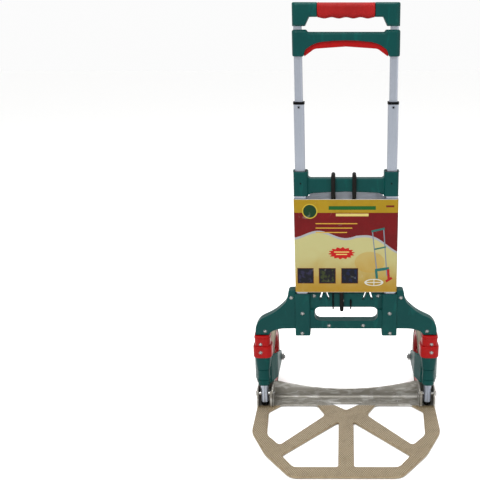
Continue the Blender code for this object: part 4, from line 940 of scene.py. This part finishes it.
# the fold between plate and flange: a quarter-round fillet along the whole sheet
t = np.linspace(0, np.pi / 2, 7)
fold = np.stack([flange_back - SHEET - FOLD_R * (1 - np.sin(t)), plate_top + FOLD_R * (1 - np.cos(t))], 1)
fold = np.concatenate([fold, [(flange_back - 0.0025, plate_top + FOLD_R),
                              (flange_back - 0.0025, plate_top - 0.0005),
                              (flange_back - SHEET - FOLD_R, plate_top - 0.0005)]])
x = np.array([-toe_half + 0.001, toe_half - 0.001])[:, None]
sheet.append(lofted(on_axis("X", x, fold[None, :, 0], fold[None, :, 1])))

PITCH_X, PITCH_Y = 0.0042, 0.0036
i, j = np.meshgrid(np.arange(-47, 48), np.arange(-72, 11), indexing="ij")
spots = np.stack([(i + 0.5 * (j % 2)) * PITCH_X, j * PITCH_Y], -1).reshape(-1, 2)
loops = [rounded(toe_outline)] + [rounded(window) for window in windows]
clear = inside(spots, loops[0]) & np.all([clearance(spots, loop) > 0.0022 for loop in loops], axis=0)
clear &= ~np.any([inside(spots, loop) for loop in loops[1:]], axis=0)
# none under the ears and walls beside the legs, and none on the fold
clear &= (np.abs(spots[:, 0]) < 0.15) | (spots[:, 1] < -0.014)
clear &= spots[:, 1] < flange_back - 0.009
slanted = (i + j).reshape(-1) % 2 == 0
for way, chosen in ((1, clear & slanted), (-1, clear & ~slanted)):
    long, short = np.array([0.0015, 0.001 * way]), np.array([-0.00056 * way, 0.00084])
    base = np.array([long, short, -long, -short])
    diamond = np.concatenate([np.column_stack([base * size, np.full(4, z)])
                              for size, z in ((1, -0.0002), (0.55, 0.0005))])
    faces = [[0, 1, 5, 4], [1, 2, 6, 5], [2, 3, 7, 6], [3, 0, 4, 7], [4, 5, 6, 7], [3, 2, 1, 0]]
    places = np.column_stack([spots[chosen], np.full(chosen.sum(), plate_top)])
    sheet.append(repeated((diamond, faces), places))
print("tread diamonds", int(clear.sum()))
piece("toe_sheet", "toe", "tread_aluminium", sheet, ["toe_plate"], angle=30)

# %% [markdown]
# Beside each leg an angle stands on the plate and carries the inner end of the hinge pin. The plate's own
# screws hold its rubber feet on, and a few small rivets sit in the fold.

# %% Ears and the plate's fasteners
ear_low, ear_top = span("toe_ear_right", "z")
ear_x = span("toe_ear_right", "x")[0]
ear_outline = [(-0.01, ear_low), (flange_back - 0.0033, ear_low), (flange_back - 0.0033, ear_top, 0.006),
               (0.012, ear_top, 0.007), (-0.01, flange_end, 0.006)]
for side, s in SIDES:
    ends = sorted((s * ear_x, s * (ear_x + SHEET)))
    ear = [moulded(ear_outline, "X", *ends, roll_low=0.0005, roll_high=0.0005)]
    lip = block(s * (ear_x + 0.0035), -0.0085, 0.0035, 0.0015, 0.001)
    ear.append(moulded(lip, "Z", ear_low, flange_end - 0.0015, roll_low=0.0004, roll_high=0.0004))
    piece("hinge_ear_" + side, "toe", "tread_aluminium", ear, ["toe_ear_" + side], angle=30)

screw_spots = [(0, -0.043), (0, -0.1777)]
screw_spots += [(s * a, b) for a, b in ((0.087, -0.1155), (0.165, -0.128), (0.063, -0.236)) for _, s in SIDES]
dimples = [repeated(fastener("Z", 1, 0.0042, 0.0003, 20),
                    [(a, b, plate_top - 0.0001) for a, b in screw_spots])]
piece("plate_studs", "toe", "tread_aluminium", dimples)
strip_spots = [(s * a, 0.016, plate_top + 0.0002) for a in (0.061, 0.112) for _, s in SIDES]
piece("strip_rivets", "toe", "zinc_steel", [repeated(fastener("Z", 1, 0.0024, 0.0012, 16), strip_spots)])

# %% [markdown]
# ## Card sleeve
# A printed card is folded round the tubes. It is a thin ring of card that bows out a little between its
# folds. The back is taller than the front. Two rings of points, outer and inner, climb the sleeve and are
# joined over its rims.

# %% Card sleeve
CARD_WALL, BOW = 0.0008, 0.0005
CARD_POINTS = 288
card_x, card_y = span("card_sleeve", "x")[1], span("card_sleeve", "y")[1] - plane


def evenly(points, count, endpoint=True):
    """The same line with a fixed number of points, evenly spaced by arc length, and their places on it."""
    run = np.concatenate([[0], np.cumsum(np.linalg.norm(np.diff(points, axis=0), axis=1))])
    places = np.linspace(0, run[-1], count(run[-1]) if callable(count) else count, endpoint=endpoint)
    return np.stack([np.interp(places, run, points[:, k]) for k in range(3)], 1), places


def card_ring(z, shrink):
    """A rounded rectangle whose long sides bow by 0.5 mm in the middle: half a cosine across the width."""
    corners = block(0, 0, card_x - shrink, card_y - shrink - BOW, 0.0055 - shrink)
    loop = turned_way(rounded(corners, 5), 1)
    a, b = loop.T
    long_side = np.linspace(a.max() - 0.0055, a.min() + 0.0055, 60)
    upper, lower = b > 0, b <= 0
    back, front = (np.column_stack([long_side, np.full(60, edge)]) for edge in (b.max(), b.min()))
    loop = np.concatenate([loop[lower & (a > 0)], loop[upper & (a > 0)], back,
                           loop[upper & (a < 0)], loop[lower & (a < 0)], front[::-1]])
    bow = BOW * np.cos(np.clip(loop[:, 0] / card_x, -1, 1) * np.pi / 2)
    ring = np.column_stack([loop[:, 0], loop[:, 1] + np.sign(loop[:, 1]) * bow, np.full(len(loop), z)])
    return evenly(np.concatenate([ring, ring[:1]]), CARD_POINTS, endpoint=False)[0]


levels = np.linspace(card_low, card_top, 13)
rings = [card_ring(z, 0) for z in levels] + [card_ring(z, CARD_WALL) for z in levels[::-1]]
back_panel = section_bar("X", np.linspace(-0.0728, 0.0728, 5), card_y - 2 * CARD_WALL, card_y - CARD_WALL,
                         card_top - 0.01, bracket_low + 0.01, 0.0003, steps=2)

# %% [markdown]
# The print is worked out from the place on the card: a mustard head band, a dark red field with a silver
# wave under it, a pale yellow foot that deepens to gold, a red star, three dark picture panels, a small
# drawing of a hand truck, and plain bars where text would run. Each is a mask of 0 and 1, and each mask
# lays one colour over the last.

# %% Printed card


def printed_card():
    made = Finish("printed_card", (205, 178, 96), 0.38, shine=0.14)
    x, y, z = made.axes()
    face = y < plane - card_y + 0.004
    cloud = made.noise(26, 5, distortion=0.8)
    fine = made.noise(120, 5)

    def line(x0, z0, x1, z1, width):
        """Mask of a straight stroke: near to the line through its ends, and between them."""
        dx, dz = x1 - x0, z1 - z0
        length = float(np.hypot(dx, dz))
        along = ((x - x0) * dx + (z - z0) * dz) / length
        across = abs((x - x0) * dz - (z - z0) * dx) / length
        return (across < width / 2) * along.between(0, length)

    def box_mask(x0, x1, z0, z1):
        return x.between(x0, x1) * z.between(z0, z1)

    def ring(x0, z0, r0, r1, wide, tall):
        return made.distance((x - x0) / wide, (z - z0) / tall).between(r0, r1)

    wave = ((x + 0.082) * 58).sine() * 0.0075 + 0.3885 - (x - 0.02) * (x > 0.02) * 0.35
    foot = made.mix(((z - 0.262) / 0.11 + cloud * 0.5).above(0.75, 0.9), (180, 140, 44), (200, 194, 134))
    colour = made.mix(ring(0.047, 0.335, 0, 1, 0.03, 0.022) * 0.45, foot, (196, 150, 52))
    colour = made.mix(z > wave, colour, (176, 178, 180))
    red = made.mix(cloud, (96, 2, 10), (132, 8, 18))
    colour = made.mix(z > wave + 0.0045, colour, red)
    mustard = made.mix(cloud, (160, 126, 14), (186, 152, 34))
    colour = made.mix(z > 0.437, colour, mustard)
    gold, cream, grey = (216, 170, 60), (240, 214, 120), (130, 140, 150)
    pale, frame_green, red_ink = (222, 224, 214), (44, 110, 104), (176, 30, 30)

    # art: pairs of a mask and the ink laid on by it, from the bottom layer up
    art = [(ring(-0.071, 0.44, 0, 1, radius, radius), ink)
           for radius, ink in ((0.015, (206, 178, 60)), (0.013, (18, 62, 34)))]
    bars = [(-0.034, 0.058, 0.443, 0.4505, (30, 96, 40)), (-0.02, 0.044, 0.43, 0.4355, (226, 208, 120)),
            (-0.06, 0.022, 0.414, 0.416, gold), (-0.06, 0.012, 0.405, 0.407, gold),
            (-0.06, 0.002, 0.396, 0.398, gold), (0.078, 0.094, 0.448, 0.452, (120, 40, 24))]
    art += [(box_mask(*spot), ink) for *spot, ink in bars]
    star_x, star_z = (x + 0.009) / 0.026, (z - 0.354) / 0.0125
    turn = made.node("ShaderNodeMath", {"operation": "ARCTAN2"}, {0: star_z, 1: star_x})
    spikes = (turn * 14).sine() * 0.1 + 0.92
    art += [(made.distance(star_x, star_z) < spikes, (196, 24, 22)),
            (box_mask(-0.024, 0.006, 0.3555, 0.3575), cream),
            (box_mask(-0.02, 0.002, 0.3505, 0.3525), cream)]
    for left, right, tone in ((-0.0965, -0.066, (46, 44, 70)), (-0.0535, -0.022, (58, 66, 34)),
                              (-0.0085, 0.023, (26, 34, 66))):
        specks = box_mask(left + 0.002, right - 0.002, 0.293, 0.3195) * fine.above(0.54, 0.1)
        patch = box_mask(left + 0.004, right - 0.004, 0.295, 0.312) * cloud.above(0.62, 0.08)
        art += [(box_mask(left - 0.0012, right + 0.0012, 0.2898, 0.3227), (96, 44, 22)),
                (box_mask(left, right, 0.291, 0.3215), (18, 20, 30)), (specks, tone),
                (patch, (150, 156, 148))]
    strokes = [(0.04, 0.292, 0.072, 0.292, 0.0016, pale), (0.056, 0.285, 0.056, 0.299, 0.0016, pale),
               (0.062, 0.312, 0.052, 0.398, 0.0022, grey), (0.082, 0.306, 0.074, 0.404, 0.0022, grey),
               (0.05, 0.399, 0.076, 0.405, 0.004, frame_green),
               (0.056, 0.362, 0.079, 0.367, 0.003, frame_green),
               (0.058, 0.318, 0.086, 0.322, 0.006, frame_green),
               (0.062, 0.3, 0.06, 0.318, 0.005, frame_green),
               (0.086, 0.296, 0.084, 0.32, 0.005, red_ink), (0.08, 0.294, 0.092, 0.302, 0.005, red_ink)]
    art.append((ring(0.056, 0.292, 0.8, 1, 0.019, 0.0075), pale))
    art += [(line(*stroke), ink) for *stroke, ink in strokes]
    for mask, ink in art:
        colour = made.mix(mask * face, colour, ink)
    raw_edge = (z > card_top - 0.0006) + (z < card_low + 0.0006)
    colour = made.mix(raw_edge, colour, (214, 206, 186))
    board = made.node("ShaderNodeAttribute", {"attribute_name": "board"}, {}, "Fac")
    # painted light: the bare board inside the sleeve and the back panel are coloured brighter than white, to
    # lift the shade they sit in under the bracket
    colour = made.mix(board > 0.5, colour, (316, 321, 332))
    creases = made.noise(44, 6, distortion=1.5).above(0.7, 0.1)
    made.tint(creases * 0.12, colour, (235, 228, 210))
    made.feed("Roughness", fine * 0.12 + creases * 0.15 + 0.28)
    made.relief(cloud * 0.7 + creases * 0.3, 0.0006, 0.5)


printed_card()
card = piece("card_wrap", "frame", "printed_card", [lofted(rings, closed=True), back_panel], ["card_sleeve"],
             angle=60)
# the outer rings come first, and every point after them is on bare board
unprinted = np.arange(len(card.data.vertices)) >= len(levels) * CARD_POINTS
card.data.attributes.new("board", "FLOAT", "POINT").data.foreach_set("value", unprinted.astype(float))

# %% [markdown]
# ## Elastic cord and hooks
# The cord is held by the truck from end to end, so its route is fixed: up the front, over the bracket's bar,
# down inside the card, under the frame's bar, and back the same way beside itself. A Catmull-Rom curve goes
# through the route's points. The tube's rings stand square to the curve, with X as the reference direction,
# because the route never runs along X.

# %% Curve and tube
CORD_R, WIRE_R = 0.004, 0.0015
INSIDE_Y = 0.0092
LEFT_RUN, MID_RUN, RIGHT_RUN, RIGHT_HOOK = -0.025, -0.009, 0.016, 0.0105


def wrap(x, half, edge, up, radius, runs):
    """Points round a bar, front to back: over its upper edge (up = 1) or under its lower one (up = -1)."""
    out, diagonal = half + radius, radius * np.sqrt(0.5)
    path = [(-out, -runs[0]), (-out, 0), (-half - diagonal, diagonal), (-half, radius), (half, radius),
            (half + diagonal, diagonal), (out, 0), (out, -runs[1])]
    return [(x, y, edge + up * z) for y, z in path]


def card_run(x_low, x_high, s):
    """Points up the inside of the card, in front (s = -1) or behind (s = 1)."""
    lean, mid = x_high - x_low, (card_low + card_top) / 2
    return [(x_low, s * 0.0116, card_low - 0.0025), (x_low, s * 0.0088, card_low + 0.0035),
            (x_low + 0.5 * lean, s * INSIDE_Y, mid), (x_low + 0.9 * lean, s * INSIDE_Y, card_top - 0.025),
            (x_high, s * 0.01, card_top - 0.002)]


def through_points(route, step):
    """Catmull-Rom: the cubic from p1 to p2 with the slopes (p2-p0)/2 and (p3-p1)/2, then even steps."""
    p = np.array(route)
    p = np.concatenate([2 * p[:1] - p[1:2], p, 2 * p[-1:] - p[-2:-1]])
    p0, p1, p2, p3 = (p[k:len(p) - 3 + k, None] for k in range(4))
    t = np.linspace(0, 1, 40, endpoint=False)[None, :, None]
    square, cube = 2 * p0 - 5 * p1 + 4 * p2 - p3, 3 * p1 - p0 - 3 * p2 + p3
    curve = 0.5 * (2 * p1 + (p2 - p0) * t + square * t**2 + cube * t**3)
    return evenly(np.concatenate([curve.reshape(-1, 3), p[-2:-1]]), lambda length: int(length / step) + 1)


def tube(path, radius, around=20):
    """Rings of the tube: centre + r (cos t * side + sin t * up), side = X made square to the curve."""
    tangent = np.gradient(path, axis=0)
    tangent /= np.linalg.norm(tangent, axis=1, keepdims=True)
    side = np.array([[1.0, 0, 0]]) - tangent[:, :1] * tangent
    side /= np.linalg.norm(side, axis=1, keepdims=True)
    up = np.cross(tangent, side)
    turn = np.linspace(0, 2 * np.pi, around, endpoint=False)[None, :, None]
    radius = np.broadcast_to(radius, len(path))[:, None, None]
    return lofted(path[:, None] + radius * (np.cos(turn) * side[:, None] + np.sin(turn) * up[:, None]))


AROUND = 20
over = (0.01, bracket_top - 0.014, 1, CORD_R + 0.0006, (0.028, 0.028))
cord_end = card_low + 0.03
route = [(LEFT_RUN, -INSIDE_Y, cord_end)] + card_run(LEFT_RUN, LEFT_RUN, -1)[2:]
route += wrap(LEFT_RUN, *over) + card_run(MID_RUN, LEFT_RUN, 1)[::-1]
route += wrap(MID_RUN, BAR_DEEP, slot_high, -1, CORD_R + 0.0006, (0.029, 0.029))[::-1]
route += card_run(MID_RUN, RIGHT_RUN, -1) + wrap(RIGHT_RUN, *over)
route += card_run(RIGHT_HOOK, RIGHT_RUN, 1)[::-1][:3] + [(RIGHT_HOOK, INSIDE_Y, cord_end)]
path, run = through_points(route, 0.0025)
print("cord length", round(float(run[-1]), 3), "m")

# %% [markdown]
# The cord's own map gives the weave its directions: u is the length along the cord in metres, and v goes once
# round it from 0 to 1. The map is filled in as one array, four corners to a face.

# %% Cord and hooks
cord = piece("elastic_cord", "frame", "black_cord", [tube(path, CORD_R, AROUND)], ["bungee_cord"], angle=60)
corner_point = np.empty(len(cord.data.loops), int)
cord.data.loops.foreach_get("vertex_index", corner_point)
row, column = corner_point // AROUND, corner_point % AROUND
sizes = np.empty(len(cord.data.polygons), int)
cord.data.polygons.foreach_get("loop_total", sizes)
owner = np.repeat(np.arange(len(sizes)), sizes)
# in the last quad of each ring, the corners back at the start are 1 and not 0
has_last = np.zeros(len(sizes), bool)
np.logical_or.at(has_last, owner, column == AROUND - 1)
corner_v = np.where(has_last[owner] & (column == 0) & (sizes[owner] == 4), 1.0, column / AROUND)
cord_map = cord.data.uv_layers.new(name="cord")
cord_map.data.foreach_set("uv", np.column_stack([run[row], corner_v]).ravel())

HOOKS = (("left", -1, LEFT_RUN, LEFT_RUN - 0.0015), ("right", 1, RIGHT_HOOK, RIGHT_HOOK - 0.001))
for side, s, x_top, x_low in HOOKS:
    runs = (0.03, 0.018) if s < 0 else (0.018, 0.03)
    bend = wrap(x_low, BAR_DEEP, slot_high, -1, WIRE_R + 0.001, runs)
    hook_route = [(x_top, s * INSIDE_Y, card_low + 0.0295)] + (bend if s < 0 else bend[::-1])
    hook_path, hook_run = through_points(hook_route, 0.0012)
    # the wire's end is dipped in a soft black tip
    tip = np.clip((hook_run - (hook_run[-1] - 0.01)) / 0.0012, 0, 1) * 0.0004
    tip = np.where(hook_run > hook_run[-1] - 0.0015, tip * 0.3 - 0.0003, tip)
    hook = tube(hook_path, WIRE_R + tip, 16)
    piece("cord_hook_" + side, "frame", "black_plastic", [hook], ["bungee_hook_" + side])

# %% [markdown]
# ## Floor, lights and camera
# A plain pale floor under a white sky. One large soft light stands high on the left in front, a weaker one
# fills from the right, and one from above picks out the top edges. The camera has the view that the truck
# is usually shown in: from a little above, with the truck to the right of the middle.

# %% Stage


def floor_plane(size):
    """A square of floor about the origin, at z = 0."""
    mesh = bpy.data.meshes.new("floor")
    corners = size * np.array([(-1, -1, 0), (1, -1, 0), (1, 1, 0), (-1, 1, 0)])
    mesh.from_pydata(corners.tolist(), [], [(0, 1, 2, 3)])
    made = bpy.data.objects.new("floor", mesh)
    bpy.context.collection.objects.link(made)
    mesh.materials.append(Finish("floor_paint", (350, 350, 349), 0.7).material)
    return made


def soft_light(name, place, power, size, target=(0, 0, 0.35)):
    light = bpy.data.lights.new(name, "AREA")
    light.energy, light.size = power, size
    made = bpy.data.objects.new(name, light)
    made.location = place
    made.rotation_euler = (Vector(target) - Vector(place)).to_track_quat("-Z", "Y").to_euler()
    bpy.context.collection.objects.link(made)


floor_plane(12)
world = bpy.data.worlds.new("white_sky")
world.use_nodes = True
world.node_tree.nodes["Background"].inputs["Color"].default_value = (1, 1, 1, 1)
world.node_tree.nodes["Background"].inputs["Strength"].default_value = 0.97
bpy.context.scene.world = world
bpy.context.scene.view_settings.view_transform = "Standard"
soft_light("key", (-1.0, -1.5, 2.2), 44, 1.0)
soft_light("fill", (1.9, -1.3, 1.2), 12, 1.6)
soft_light("top", (0.1, 0.1, 2.3), 30, 1.0)

camera = bpy.data.objects.new("camera", bpy.data.cameras.new("camera"))
camera.data.lens = 52.5
camera.data.shift_x = -0.221
camera.data.clip_start = 0.02
camera.location = (0.0, -1.299, 0.786)
camera.rotation_euler = (np.radians(73), 0, 0)
bpy.context.collection.objects.link(camera)
bpy.context.scene.camera = camera
